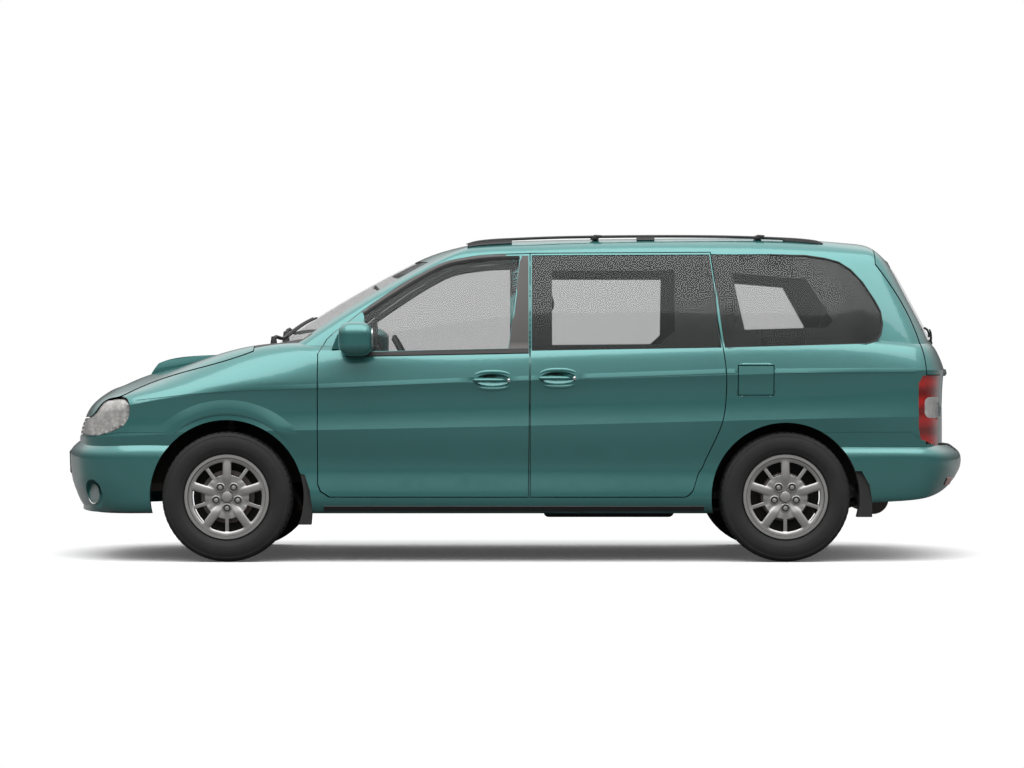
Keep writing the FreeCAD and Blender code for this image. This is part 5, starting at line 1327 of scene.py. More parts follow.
@dataclass(frozen=True)
class Facets(Finish):
    """The stepped bright reflector behind a clear lens, its facets' reflections painted as lighter and darker cells."""

    light: Colour = (0.72, 0.71, 0.68)
    shade: Colour = (0.30, 0.29, 0.28)

    def dress(self, shader: Shader) -> None:
        """Fill in the shader."""
        x, y, z = shader.parts(shader.place())
        cells = shader.node("ShaderNodeTexVoronoi", {"distance": "MANHATTAN"}, {
            "Vector": shader.place(), "Scale": 34.0, "Randomness": 0.7})
        # Painted reflection: stripes and cells mix the light and shade colours in place of what each facet would
        # reflect.
        steps = ((x * 90.0 + z * 24.0).sine() * 0.5 + 0.5) * 0.35 + cells * 0.9
        shader.set(Base_Color=shader.mixed(steps.clamped(), self.light, self.shade), Metallic=0.35, Roughness=0.28)
        shader.bump(steps, 0.004, 0.5)


@dataclass
class Lamps:
    """Head, tail, fog and high brake lamps."""

    bowl_share: float = 0.955

    def build(self, nodes: dict) -> None:
        """Make every lamp.

        Args:
            nodes: The CAD nodes by name.
        """
        self.headlamps(nodes["headlamps"])
        self.tail_lamps(nodes)
        self.fog_lamps()
        self.brake_lamp(nodes)

    def headlamps(self, node: bpy.types.Object) -> None:
        """Clear lenses over faceted bowls in black housings."""
        Work.copied("headlamp_lenses", node).only(LENS).shade(30.0).on("body", "headlamps")
        for side in Side:
            bowl = Work.copied("headlamp_bowl_" + side.word, node)
            keep = side.value
            bowl.faces(lambda face: face.calc_center_median().y * keep < 0).erase().leave()
            points = [vertex.co for vertex in bowl.thing.data.vertices]
            middle = sum(points, Vector()) / len(points)
            for vertex in bowl.thing.data.vertices:
                vertex.co = middle + (vertex.co - middle) * self.bowl_share + Vector((0.004, -keep * 0.003, 0.0))
            housing = bowl.twin("headlamp_housing_" + side.word, Matrix.Translation((0.034, -keep * 0.016, 0.010)))
            bowl.only(HEADLAMP_BOWL).shade(25.0).on("body")
            housing.only(BLACK_TRIM).shade(25.0).on("body")
            LOG.info("headlamp %s", side.word)

    def tail_lamps(self, nodes: dict) -> None:
        """Red lenses with a clear window."""
        Work.copied("tail_lamp_lenses", nodes["tail_lamps"]).only(TAIL_LENS).shade(30.0).on("body", "tail_lamps")
        LOG.info("tail lamps")

    def fog_lamps(self) -> None:
        """Round lamps in the bumper's recesses."""
        for side in Side:
            place = Vector((-2.213, side.value * 0.735, 0.352))
            ahead = Vector((-math.cos(math.radians(40.0)), side.value * math.sin(math.radians(40.0)), 0.0))
            turn = ahead.to_track_quat("-Y", "Z").to_matrix().to_4x4()
            bowl = Work.turned("fog_bowl_" + side.word, [
                (-0.012, 0.050), (-0.014, 0.054), (-0.006, 0.057), (0.020, 0.050), (0.030, 0.020), (0.030, 0.0)],
                32, closed=False)
            lens = Work.turned("fog_lens_" + side.word, [
                (-0.016, 0.0), (-0.0155, 0.020), (-0.0140, 0.038), (-0.0105, 0.0495), (-0.004, 0.0500)],
                32, closed=False)
            for work, finish in ((bowl, REFLECTOR), (lens, LENS)):
                work.shade(50.0).moved(Matrix.Translation(place - ahead * 0.004) @ turn).paint(finish).on("body")

    def brake_lamp(self, nodes: dict) -> None:
        """The high brake lamp over the tailgate glass."""
        skin = Skin([nodes["tailgate"]])
        path = [(y, 1.585) for y in run(-0.17, 0.17, 12)]
        lamp = skin.strip("high_brake_lamp", path, (
            (-0.014, 0.0002), (-0.012, 0.010), (0.0, 0.013), (0.012, 0.010), (0.014, 0.0002)), skin.rear)
        lamp.paint(RED_LENS).on("tailgate")


TAIL_LENS = TailLens("tail_lens", "lamp_red")
HEADLAMP_BOWL = Facets("headlamp_bowl", "lamp_clear")


# ---- Roof


@dataclass
class RoofRack:
    """Two rails on tapered feet and two crossbars."""

    rail_y: float = 0.620
    rail: tuple[Point, ...] = (
        (-0.262, 1.6690), (-0.215, 1.6790), (-0.136, 1.6885), (-0.020, 1.6950), (0.250, 1.7050), (0.687, 1.7105),
        (1.100, 1.7085), (1.400, 1.6985), (1.530, 1.6900), (1.600, 1.6800), (1.630, 1.6700))
    feet: tuple[tuple[float, float], ...] = ((-0.255, -0.020), (0.640, 0.735), (1.415, 1.625))
    bars: tuple[float, ...] = (0.423, 1.287)

    def build(self, nodes: dict) -> None:
        """Make both rails with their feet, and the crossbars.

        Args:
            nodes: The CAD nodes by name.
        """
        skin = Skin([nodes["roof"], nodes["body_side_left"], nodes["body_side_right"], nodes["sliding_door_left"],
                     nodes["sliding_door_right"]])
        path = smooth([(x, -self.rail_y, z) for x, z in self.rail], 4)
        radii = [min(0.0075, 0.002 + 0.0012 * min(n, len(path) - 1 - n)) for n in range(len(path))]
        parts = [Work.tube("rail", path, radii)] + [self.foot(skin, path, *foot) for foot in self.feet]
        left = joined("roof_rail_left", parts).paint(BLACK_TRIM)
        left.twin("roof_rail_right", mirror_y()).slotted(left.slot).on("body")
        left.on("body", "roof_rack")
        for number, x in enumerate(self.bars):
            self.bar(skin, number, x)

    def foot(self, skin: Skin, path: Sequence[Point], start: float, end: float) -> Work:
        """One foot between the roof and the rail, tapered towards its ends."""
        def place(u: float, v: float) -> Vector:
            """A point round the foot's section and along it."""
            x = start + (end - start) * v
            top = max((a[2] + (b[2] - a[2]) * (x - a[0]) / max(1e-6, b[0] - a[0]))
                      for a, b in zip(path, path[1:]) if a[0] - 1e-6 <= x <= b[0] + 1e-6)
            low = skin.top(x, -self.rail_y)[0].z - 0.004
            angle = 2 * math.pi * u
            across, over = oval(angle, 0.0145 if math.sin(angle) < 0 else 0.0085, (top - low) / 2)
            return Vector((x, -self.rail_y + across, (top + low) / 2 + over))
        return Work.grid("foot", 20, 10, place).sealed().shade(50.0)

    def bar(self, skin: Skin, number: int, x: float) -> None:
        """One crossbar that follows the roof, with a clamp at each end."""
        spots = []
        for share in run(-1.0, 1.0, 24):
            y = self.rail_y * share
            height = max(skin.top(x, y)[0].z + 0.011, 1.7105 - 0.012 * share ** 2)
            spots.append((x, y, min(height, 1.7135)))
        wider = Matrix.Scale(2.4, 4, Vector((1, 0, 0)))
        bar = Work.tube("crossbar", spots, 0.0075).moved(
            Matrix.Translation((x, 0, 0)) @ wider @ Matrix.Translation((-x, 0, 0)))
        clamps = []
        for side in Side:
            y = side.value * self.rail_y
            points = [(x - 0.030, y - 0.014, 1.694), (x + 0.012, y - 0.014, 1.692), (x + 0.034, y - 0.014, 1.716),
                      (x - 0.008, y - 0.014, 1.719)]
            clamps.append(Work.slab("clamp", points, (0.0, 0.028, 0.0), 0.004))
        joined("roof_crossbar_%d" % number, [bar] + clamps).paint(BLACK_TRIM).on("body")


# ---- Nose and tail


@dataclass
class Ends:
    """Grille bars, lamp panel, plates, intake walls, wipers, washers, bumper pad and tailgate fittings."""

    plate_low: Point = (2.301, -0.255, 0.851)
    plate_high: Point = (2.306, 0.255, 0.959)
    bar_half: float = 0.0065
    scoop_half: float = 0.2365

    def build(self, nodes: dict) -> None:
        """Make the fittings of both ends.

        Args:
            nodes: The CAD nodes by name.
        """
        self.grille(Skin([nodes["grille"], nodes["bonnet"], nodes["front_bumper"]]))
        self.front_plate(Skin([nodes["front_bumper"]]))
        self.screen_wipers(Skin([nodes["windscreen"], nodes["cowl"], nodes["bonnet"]]))
        tail = Skin([nodes["tailgate"], nodes["tailgate_window"]])
        self.rear_plate()
        self.tail_handle(tail)
        self.rear_wiper(tail)
        self.bumper_pad(Skin([nodes["rear_bumper"]]))
        self.screen_band(Skin([nodes["windscreen"]]))
        self.scoop_cheeks(Skin([nodes["bonnet"]]))

    def grille(self, skin: Skin) -> None:
        """Horizontal bars over the recessed grille, and the dark panel between the headlamps."""
        bars = []
        for number, z in enumerate((0.668, 0.690, 0.712, 0.733)):
            half = 0.405 - 0.012 * number
            path = [(y, z) for y in run(-half, half, 24)]
            bars.append(skin.strip("grille_bar", path, (
                (-self.bar_half, -0.001), (-self.bar_half * 0.8, 0.006), (self.bar_half * 0.8, 0.0075),
                (self.bar_half, -0.001)), skin.front))
        joined("grille_bars", bars).paint(GLOSS_TRIM).on("body")
        panel = Work.block("lamp_panel", (-2.262, -0.60, 0.660), (-2.236, 0.60, 0.757))
        panel.faces(lambda face: face.normal.x < -0.9).inset(0.012, -0.004)
        panel.rounded(0.003).shade().paint(BLACK_TRIM).on("body")

    def front_plate(self, skin: Skin) -> None:
        """A blank plate in its black holder on the bumper."""
        path = [(y, 0.508) for y in run(-0.256, 0.256, 24)]
        holder = skin.strip("front_plate_holder", path, (
            (-0.062, 0.0002), (-0.061, 0.004), (0.061, 0.004), (0.062, 0.0002)), skin.front)
        holder.paint(BLACK_TRIM).on("body")
        path = [(y, 0.508) for y in run(-0.250, 0.250, 24)]
        plate = skin.strip("front_plate", path, (
            (-0.0550, 0.0042), (-0.0545, 0.0062), (-0.0500, 0.0062), (-0.0490, 0.0054), (0.0490, 0.0054),
            (0.0500, 0.0062), (0.0545, 0.0062), (0.0550, 0.0042)), skin.front)
        plate.paint(PLATE).on("body")

    def rear_plate(self) -> None:
        """A blank plate with a pressed edge in a black holder, in the tailgate's recess."""
        (back, left, low), (front, right, high) = self.plate_low, self.plate_high
        holder = Work.block(
            "rear_plate_holder", (back, left - 0.006, low - 0.006), (front, right + 0.006, high + 0.006))
        holder.rounded(0.002).shade().paint(BLACK_TRIM).on("tailgate")
        plate = Work.block("rear_plate", (front - 0.001, left, low), (front + 0.0015, right, high))
        plate.faces(lambda face: face.normal.x > 0.9).inset(0.006).inset(0.0015, -0.0008)
        plate.rounded(0.0005).shade().paint(PLATE).on("tailgate")

    def tail_handle(self, skin: Skin) -> None:
        """The grip bar over the plate, with two lamps under it."""
        path = [(y, 0.992) for y in run(-0.285, 0.285, 20)]
        grip = skin.strip("tailgate_grip", path, (
            (-0.020, -0.002), (-0.019, 0.012), (-0.006, 0.019), (0.012, 0.013), (0.018, 0.0002)), skin.rear)
        grip.thick(0.003, -1.0).shade(40.0).paint(PAINT).on("tailgate")
        for side in Side:
            lamp = Work.block("plate_lamp_" + side.word, (2.3015, side.value * 0.15 - 0.024, 0.9620),
                              (2.318, side.value * 0.15 + 0.024, 0.9670))
            lamp.rounded(0.0018).shade().paint(SMOKE_LENS).on("tailgate")

    def rear_wiper(self, skin: Skin) -> None:
        """Pivot cap, arm and blade on the tailgate glass."""
        spots = []
        for share in run(0.0, 1.0, 16):
            spot, normal = skin.rear(0.02 - 0.42 * share, 1.150 + 0.060 * math.sin(math.pi * 0.5 * share))
            spots.append(spot + normal * (0.026 - 0.004 * share))
        arm = Work.tube("rear_wiper_arm", spots, run(0.0075, 0.0040, 16), 10)
        spot, normal = skin.rear(0.02, 1.150)
        cap = Work.rod("cap", spot - normal * 0.002, spot + normal * 0.032, 0.019, 0.014, 24).rounded(0.004, 3).shade()
        joined("rear_wiper_arm", [arm, cap]).paint(BLACK_TRIM).on("tailgate")
        blade = []
        for share in run(0.0, 1.0, 20):
            spot, normal = skin.rear(-0.12 - 0.50 * share, 1.180 + 0.040 * math.sin(math.pi * 0.5 * share))
            blade.append(spot + normal * 0.011)
        Work.tube("rear_wiper_blade", blade, [0.0025] + [0.0062] * 19 + [0.0025], 8).paint(SEAL).on("tailgate")

    def bumper_pad(self, skin: Skin) -> None:
        """The ribbed tread pad on top of the rear bumper."""
        ribs = []
        for number in range(5):
            x = 2.352 - 0.016 * number
            path = [(x, y) for y in run(-0.44, 0.44, 24)]
            ribs.append(skin.strip("rib", path, (
                (-0.005, 0.0002), (-0.004, 0.003), (0.004, 0.003), (0.005, 0.0002)), skin.top))
        joined("bumper_pad", ribs).paint(BLACK_TRIM).on("body")
        for side in Side:
            path = [(side.value * y, 0.415) for y in run(0.52, 0.72, 10)]
            reflector = skin.strip("rear_reflector_" + side.word, path, (
                (-0.020, 0.0002), (-0.018, 0.004), (0.018, 0.004), (0.020, 0.0002)), skin.rear)
            reflector.paint(RED_LENS).on("body")

    def screen_band(self, skin: Skin) -> None:
        """The black printed band round the inside of the windscreen and the mirror's foot."""
        band = skin.strip("screen_top_band", [(y, 1.553) for y in run(-0.56, 0.56, 24)], (
            (-0.030, -0.0075), (-0.010, -0.0075), (0.012, -0.0075), (0.030, -0.0075)), skin.front)
        band.paint(FRIT).on("body")
        spot, normal = skin.front(0.0, 1.470)
        inner = spot - normal * 0.012 + Vector((0.055, 0.0, -0.035))
        foot = Work.tube(
            "inner_mirror_foot", [spot - normal * 0.008, spot.lerp(inner, 0.5) - Vector((0, 0, 0.004)), inner],
            [0.012, 0.007, 0.006])
        foot.paint(DARK_TRIM).on("body")
        x, _, z = inner
        shell = Work.pad("inner_mirror", (x - 0.012, -0.115, z - 0.034), (x + 0.016, 0.115, z + 0.034), 0.2, 5)
        shell.softened(1).shade(60.0).paint(DARK_TRIM).on("body")
        face = Work.block("inner_mirror_face", (x + 0.0150, -0.100, z - 0.024), (x + 0.0185, 0.100, z + 0.024))
        face.rounded(0.0015).shade().paint(CHROME).on("body")

    def scoop_cheeks(self, skin: Skin) -> None:
        """The side walls that carry the bonnet intake down to the bonnet."""
        top = ((-1.975, 0.985), (-1.958, 1.012), (-1.940, 1.036), (-1.915, 1.049), (-1.880, 1.057), (-1.800, 1.069),
               (-1.700, 1.081), (-1.600, 1.085), (-1.500, 1.088))
        for side in Side:
            y = side.value * self.scoop_half
            low = [(x, y, skin.top(x, y + side.value * 0.016)[0].z - 0.004) for x, _ in reversed(top)]
            points = [(x, y, z) for x, z in top] + low
            cheek = Work.slab("scoop_cheek_" + side.word, points, (0.0, -side.value * 0.009, 0.0), 0.002)
            cheek.paint(PAINT).on("bonnet")

    def screen_wipers(self, skin: Skin) -> None:
        """Two arms parked at the foot of the windscreen with their blades, and washer jets."""
        for number, (x0, y0, x1, y1) in enumerate(((-1.285, -0.580, -1.115, 0.010), (-1.268, 0.070, -1.105, 0.600))):
            spots, blade = [], []
            for share in run(0.0, 1.0, 20):
                x, y = x0 + (x1 - x0) * share, y0 + (y1 - y0) * share
                spot, _ = skin.top(x, y)
                hump = 0.034 * math.exp(-((share - 0.08) / 0.10) ** 2)
                spots.append(spot + Vector((0, 0, 0.020 + hump)))
                along = 0.30 + 0.78 * share
                spot, normal = skin.top(x0 + 0.012 + (x1 - x0) * along, y0 + (y1 - y0) * along)
                blade.append(spot + normal * 0.009)
            arm = Work.tube("arm", spots, run(0.0105, 0.0050, 20), 10)
            spot, _ = skin.top(x0, y0)
            cap = Work.rod("cap", spot - Vector((0, 0, 0.01)), spot + Vector((0, 0, 0.050)), 0.021, 0.013, 24)
            cap.rounded(0.004, 3).shade()
            joined("wiper_arm_%d" % number, [arm, cap]).paint(BLACK_TRIM).on("body")
            Work.tube("wiper_blade_%d" % number, blade, [0.0025] + [0.0065] * 19 + [0.0025], 8).paint(SEAL).on("body")
        for side in Side:
            spot, normal = skin.top(-1.475, side.value * 0.30)
            jet = Work.ball("washer_jet_" + side.word, spot + normal * 0.002, (0.018, 0.011, 0.007), 8, 16)
            jet.faces(lambda face: face.normal.x > 0.8).inset(0.001, -0.002)
            jet.shade(60.0).paint(BLACK_TRIM).on("bonnet")


# ---- Cabin


@dataclass
class Cabin:
    """Seats, belts, dashboard fittings, console, door cards and steering column stalks."""

    floor_top: float = 0.330
    bench_lift: float = 0.460
    seat_half: float = 0.235
    head_half: float = 0.125
    bench_half: float = 0.560
    rows: tuple[tuple[str, float], ...] = (("front", -0.225), ("middle", 0.610))
    bench_x: float = 1.450
    seat_y: float = 0.400
    tilt: float = 4.0
    lean: float = 19.0
    channel: float = 0.62
    fill: float = 0.85
    bench_heads: tuple[float, ...] = (-0.360, 0.0, 0.360)

    def build(self) -> None:
        """Make the cabin's fittings."""
        base, back, head = self.seat("single", self.seat_half)
        bench_base, bench_back, spare = self.seat("wide", self.bench_half)
        bench = Matrix.Translation((self.bench_x, 0.0, self.bench_lift))
        cushions = []
        for word, x in self.rows:
            for side in Side:
                place = Matrix.Translation((x, side.value * self.seat_y, self.floor_top))
                name = word + "_seat_%s_" + side.word
                cushions += [(base, name % "base", place, [word + "_seats"]), (back, name % "back", place, []),
                             (head, name % "head", place, [])]
        cushions += [(bench_base, "bench_base", bench, ["rear_bench"]), (bench_back, "bench_back", bench, [])]
        for number, y in enumerate(self.bench_heads):
            cushions.append((head, "bench_head_%d" % number, Matrix.Translation((0.0, y, 0.0)) @ bench, []))
        for master, name, place, replaced in cushions:
            master.twin(name, place).slotted(master.slot).on("body", *replaced)
        for master in (base, back, head, bench_base, bench_back, spare):
            bpy.data.objects.remove(master.thing)
        self.head_posts()
        self.dash()
        self.console()
        self.door_cards()
        self.belts()

    def seat(self, word: str, half: float) -> tuple[Work, Work, Work]:
        """The base, back and head cushion of a seat with its middle at y = 0 and its foot at the origin.

        Args:
            word: A word for the names.
            half: Half the seat's width.

        Returns:
            The three cushions.
        """
        base = Work.pad(word + "_base", (-0.290, -half, 0.180), (0.200, half, 0.300), 0.32)
        base.moved(Matrix.Translation((-0.05, 0, 0.24)) @ spun(self.tilt) @ Matrix.Translation((0.05, 0, -0.24)))
        self.seams(base, 2, half, self.channel)
        back = Work.pad(word + "_back", (-0.085, -half, -0.34), (0.045, half, 0.34), 0.30)
        self.seams(back, 0, half, self.channel)
        back.moved(Matrix.Translation((0.245, 0, 0.550)) @ spun(self.lean))
        head = Work.pad(word + "_head", (-0.048, -self.head_half, -0.078), (0.048, self.head_half, 0.078), 0.45)
        head.moved(Matrix.Translation((0.385, 0, 1.022)) @ spun(self.lean))
        for work in (base, back, head):
            work.softened(2).shade(80.0).paint(CLOTH)
        return base, back, head

    @staticmethod
    def seams(work: Work, axis: int, half: float, share: float) -> None:
        """Press two sewn channels between a cushion's middle and its side bolsters."""
        depths = [vertex.co[axis] for vertex in work.thing.data.vertices]
        middle = (min(depths) + max(depths)) / 2
        for vertex in work.thing.data.vertices:
            across = abs(vertex.co.y) / half
            away = abs(across - share)
            outer = vertex.co[axis] > middle if axis == 2 else vertex.co[axis] < middle
            if outer and away < 0.13:
                vertex.co[axis] += (0.016 if axis == 0 else -0.016) * (1 - away / 0.13)
            elif outer and across > share:
                vertex.co[axis] += (-0.012 if axis == 0 else 0.012) * min(1.0, (1.0 - across) * 6)

    def head_posts(self) -> None:
        """The bright posts under the head cushions."""
        posts = []
        spots = [(x, side.value * self.seat_y, self.floor_top) for _, x in self.rows for side in Side]
        spots += [(self.bench_x, y, self.bench_lift) for y in self.bench_heads]
        for x, y, z in spots:
            for side in Side:
                post_y = y + side.value * 0.06
                post = Work.rod("post", (x + 0.345, post_y, z + 0.85), (x + 0.378, post_y, z + 0.98), 0.006, sides=12)
                posts.append(post.shade())
        joined("head_posts", posts).paint(CHROME).on("body")

    def dash(self) -> None:
        """Instrument hood, dials, vents, centre stack, glove box and stalks."""
        hood = Work.pad("instrument_hood", (-0.895, -0.60, 1.055), (-0.735, -0.20, 1.150), 0.25)
        hood.softened(1).shade(60.0).paint(DARK_TRIM).on("body")
        dials = []
        for y, radius in ((-0.475, 0.042), (-0.375, 0.052), (-0.285, 0.034)):
            dial = Work.turned(
                "dial", [(-0.004, 0.0), (-0.004, radius * 0.9), (-0.012, radius), (0.0, radius * 1.06)], 32,
                closed=False)
            dial.moved(Matrix.Translation((-0.7420, y, 1.098)) @ Matrix.Rotation(math.radians(90.0), 4, "Z"))
            dials.append(dial)
        joined("instrument_dials", dials).shade(40.0).paint(GLOSS_TRIM).on("body")
        stack = Work.block("centre_stack", (-0.815, -0.125, 0.700), (-0.742, 0.125, 1.060))
        stack.faces(lambda face: face.normal.x > 0.9).inset(0.014).inset(0.004, -0.006)
        stack.rounded(0.006, 3).shade().paint(DARK_TRIM).on("body")
        knobs = []
        for y in (-0.075, 0.0, 0.075):
            knobs.append(Work.rod("knob", (-0.750, y, 0.790), (-0.728, y, 0.790), 0.021, 0.018).rounded(0.003).shade())
        for y in (-0.065, 0.065, -0.66, 0.66):
            for row in range(4):
                z = 1.000 + 0.011 * row
                slat = Work.block("slat", (-0.755, y - 0.045, z), (-0.733, y + 0.045, z + 0.003))
                knobs.append(slat.rounded(0.0008, 1))
        joined("dash_controls", knobs).paint(GLOSS_TRIM).on("body")
        box = Work.block("glove_box", (-0.800, 0.215, 0.760), (-0.747, 0.585, 0.925))
        box.faces(lambda face: face.normal.x > 0.9).inset(0.010, 0.003)
        box.rounded(0.008, 3).shade().paint(CABIN_TRIM).on("body")
        stalks = []
        for side in Side:
            spots = [(x, side.value * reach - 0.400, z) for x, reach, z in (
                (-0.640, 0.030, 0.965), (-0.640, 0.100, 0.975), (-0.636, 0.155, 0.985))]
            stalks.append(Work.tube("stalk", spots, [0.006, 0.0055, 0.0075]))
        joined("column_stalks", stalks).paint(DARK_TRIM).on("body")

    def console(self) -> None:
        """Centre console with the gear lever, hand brake and tray."""
        body = Work.block("console", (-0.800, -0.105, self.floor_top + 0.001), (-0.060, 0.105, 0.560))
        body.edges(lambda edge: all(vertex.co.z > 0.5 for vertex in edge.verts)).bevel(0.025, 4)
        body.faces(lambda face: face.normal.z > 0.95).inset(0.016).inset(0.004, -0.018)
        body.rounded(0.004).shade().paint(DARK_TRIM).on("body")
        gaiter = Work.rod("gear_gaiter", (-0.560, 0, 0.540), (-0.560, 0, 0.615), 0.052, 0.016).divided(3)
        gaiter.softened(1).shade(60.0).paint(RUBBER).on("body")
        lever = Work.tube(
            "gear_lever", [(-0.560, 0, 0.600), (-0.552, 0, 0.680), (-0.545, 0, 0.735), (-0.543, 0, 0.765)],
            [0.007, 0.007, 0.021, 0.012], 16)
        lever.softened(1).shade(60.0).paint(GLOSS_TRIM).on("body")
        brake = Work.tube(
            "hand_brake", [(-0.200, 0.0, 0.545), (-0.290, 0.0, 0.600), (-0.360, 0.0, 0.632), (-0.400, 0.0, 0.642)],
            [0.013, 0.012, 0.017, 0.012], 14)
        brake.paint(DARK_TRIM).on("body")

    def door_cards(self) -> None:
        """Armrest, pocket and speaker on the inside of each front door."""
        for side in Side:
            way = side.value
            rest = Work.pad("rest", (-0.560, way * 0.742 - 0.036, 0.760), (-0.120, way * 0.742 + 0.036, 0.820), 0.2, 5)
            pocket = Work.block("pocket", (-0.880, way * 0.775 - 0.014, 0.430), (-0.240, way * 0.775 + 0.014, 0.530))
            card = joined("door_card_" + side.word, [rest.softened(1).shade(60.0), pocket.rounded(0.010, 3).shade()])
            card.paint(DARK_TRIM).on("front_door_" + side.word)
            ring = Work.turned("speaker_" + side.word, [
                (0.010, 0.078), (-0.004, 0.076), (-0.004, 0.068), (0.002, 0.064), (0.004, 0.0)], 40, closed=False)
            turn = Matrix.Identity(4) if way > 0 else Matrix.Rotation(math.pi, 4, "Z")
            ring.moved(Matrix.Translation((-0.800, way * 0.776, 0.630)) @ turn)
            ring.shade(40.0).paint(GLOSS_TRIM).on("front_door_" + side.word)

    def belts(self) -> None:
        """Belt webbing down the pillars beside the front seats."""
        for side in Side:
            way = side.value
            spots = smooth([(0.115, way * 0.720, 1.330), (0.122, way * 0.750, 1.100), (0.128, way * 0.775, 0.800),
                            (0.125, way * 0.785, 0.480)], 6)
            belt = Work.grid("seat_belt_" + side.word, 2, len(spots) - 1, lambda u, v: Vector(
                spots[round(v * (len(spots) - 1))]) + Vector(((u - 0.5) * 0.046, 0.0, 0.0)))
            belt.thick(0.0014).shade(40.0).paint(WEBBING).on("body")


# ---- Underside


@dataclass
class Underside:
    """Front springs, front brake calipers and near-black brake shields, wide enough to be painted shade behind the
    spokes.
    """

    spring_y: float = 0.560
    spring_low: float = 0.50
    spring_tall: float = 0.20
    coil_radius: float = 0.062
    coils: int = 5
    caliper_outer: float = 0.148
    caliper_inner: float = 0.108

    def build(self) -> None:
        """Make the parts under the floor."""
        for side in Side:
            y = side.value * self.spring_y
            turns = []
            for share in run(0.0, 1.0, 96):
                angle = 2 * math.pi * self.coils * share
                along, over = self.coil_radius * math.cos(angle), self.coil_radius * math.sin(angle)
                turns.append((FRONT_AXLE_X + along, y + over, self.spring_low + self.spring_tall * share))
            Work.tube("front_spring_" + side.word, turns, 0.0068, 8).paint(STEEL).on("body")
            self.caliper(side).on("knuckle_" + side.word)
            for end, x, body in (("front", FRONT_AXLE_X, "knuckle_" + side.word), ("rear", REAR_AXLE_X, "body")):
                # The shields reach 0.1835 m, past the disc and drum: near-black dishes that are partly real shields and
                # partly painted shade where the floor would show between the spokes.
                shield = Work.turned("%s_brake_shield_%s" % (end, side.word), [
                    (0.018, 0.066), (0.020, 0.150), (0.014, 0.182), (0.016, 0.1835), (0.0225, 0.152),
                    (0.0205, 0.066)], 48)
                shield.moved(axle_end(side, x)).shade(40.0).paint(SHIELD_PAINTED_SHADE).on(body)
            LOG.info("spring and caliper %s", side.word)

    def caliper(self, side: Side) -> Work:
        """A floating brake caliper over the edge of the front disc."""
        back = side.value * (WHEEL_Y - 0.046)
        points = []
        for radius, angles in (
                (self.caliper_outer, run(-24.0, 24.0, 12)), (self.caliper_inner, run(20.0, -20.0, 12))):
            points += [(FRONT_AXLE_X + radius * math.cos(math.radians(angle)), back,
                        AXLE_Z + radius * math.sin(math.radians(angle))) for angle in angles]
        shell = Work.slab("brake_caliper_" + side.word, points, (0.0, side.value * 0.026, 0.0), 0.006, 3)
        return shell.paint(BRAKE_IRON)


# ---- Wheels


@dataclass
class WheelSize:
    """Sizes of one wheel."""

    rim_half: float = 0.088
    nut_circle: float = 0.0595


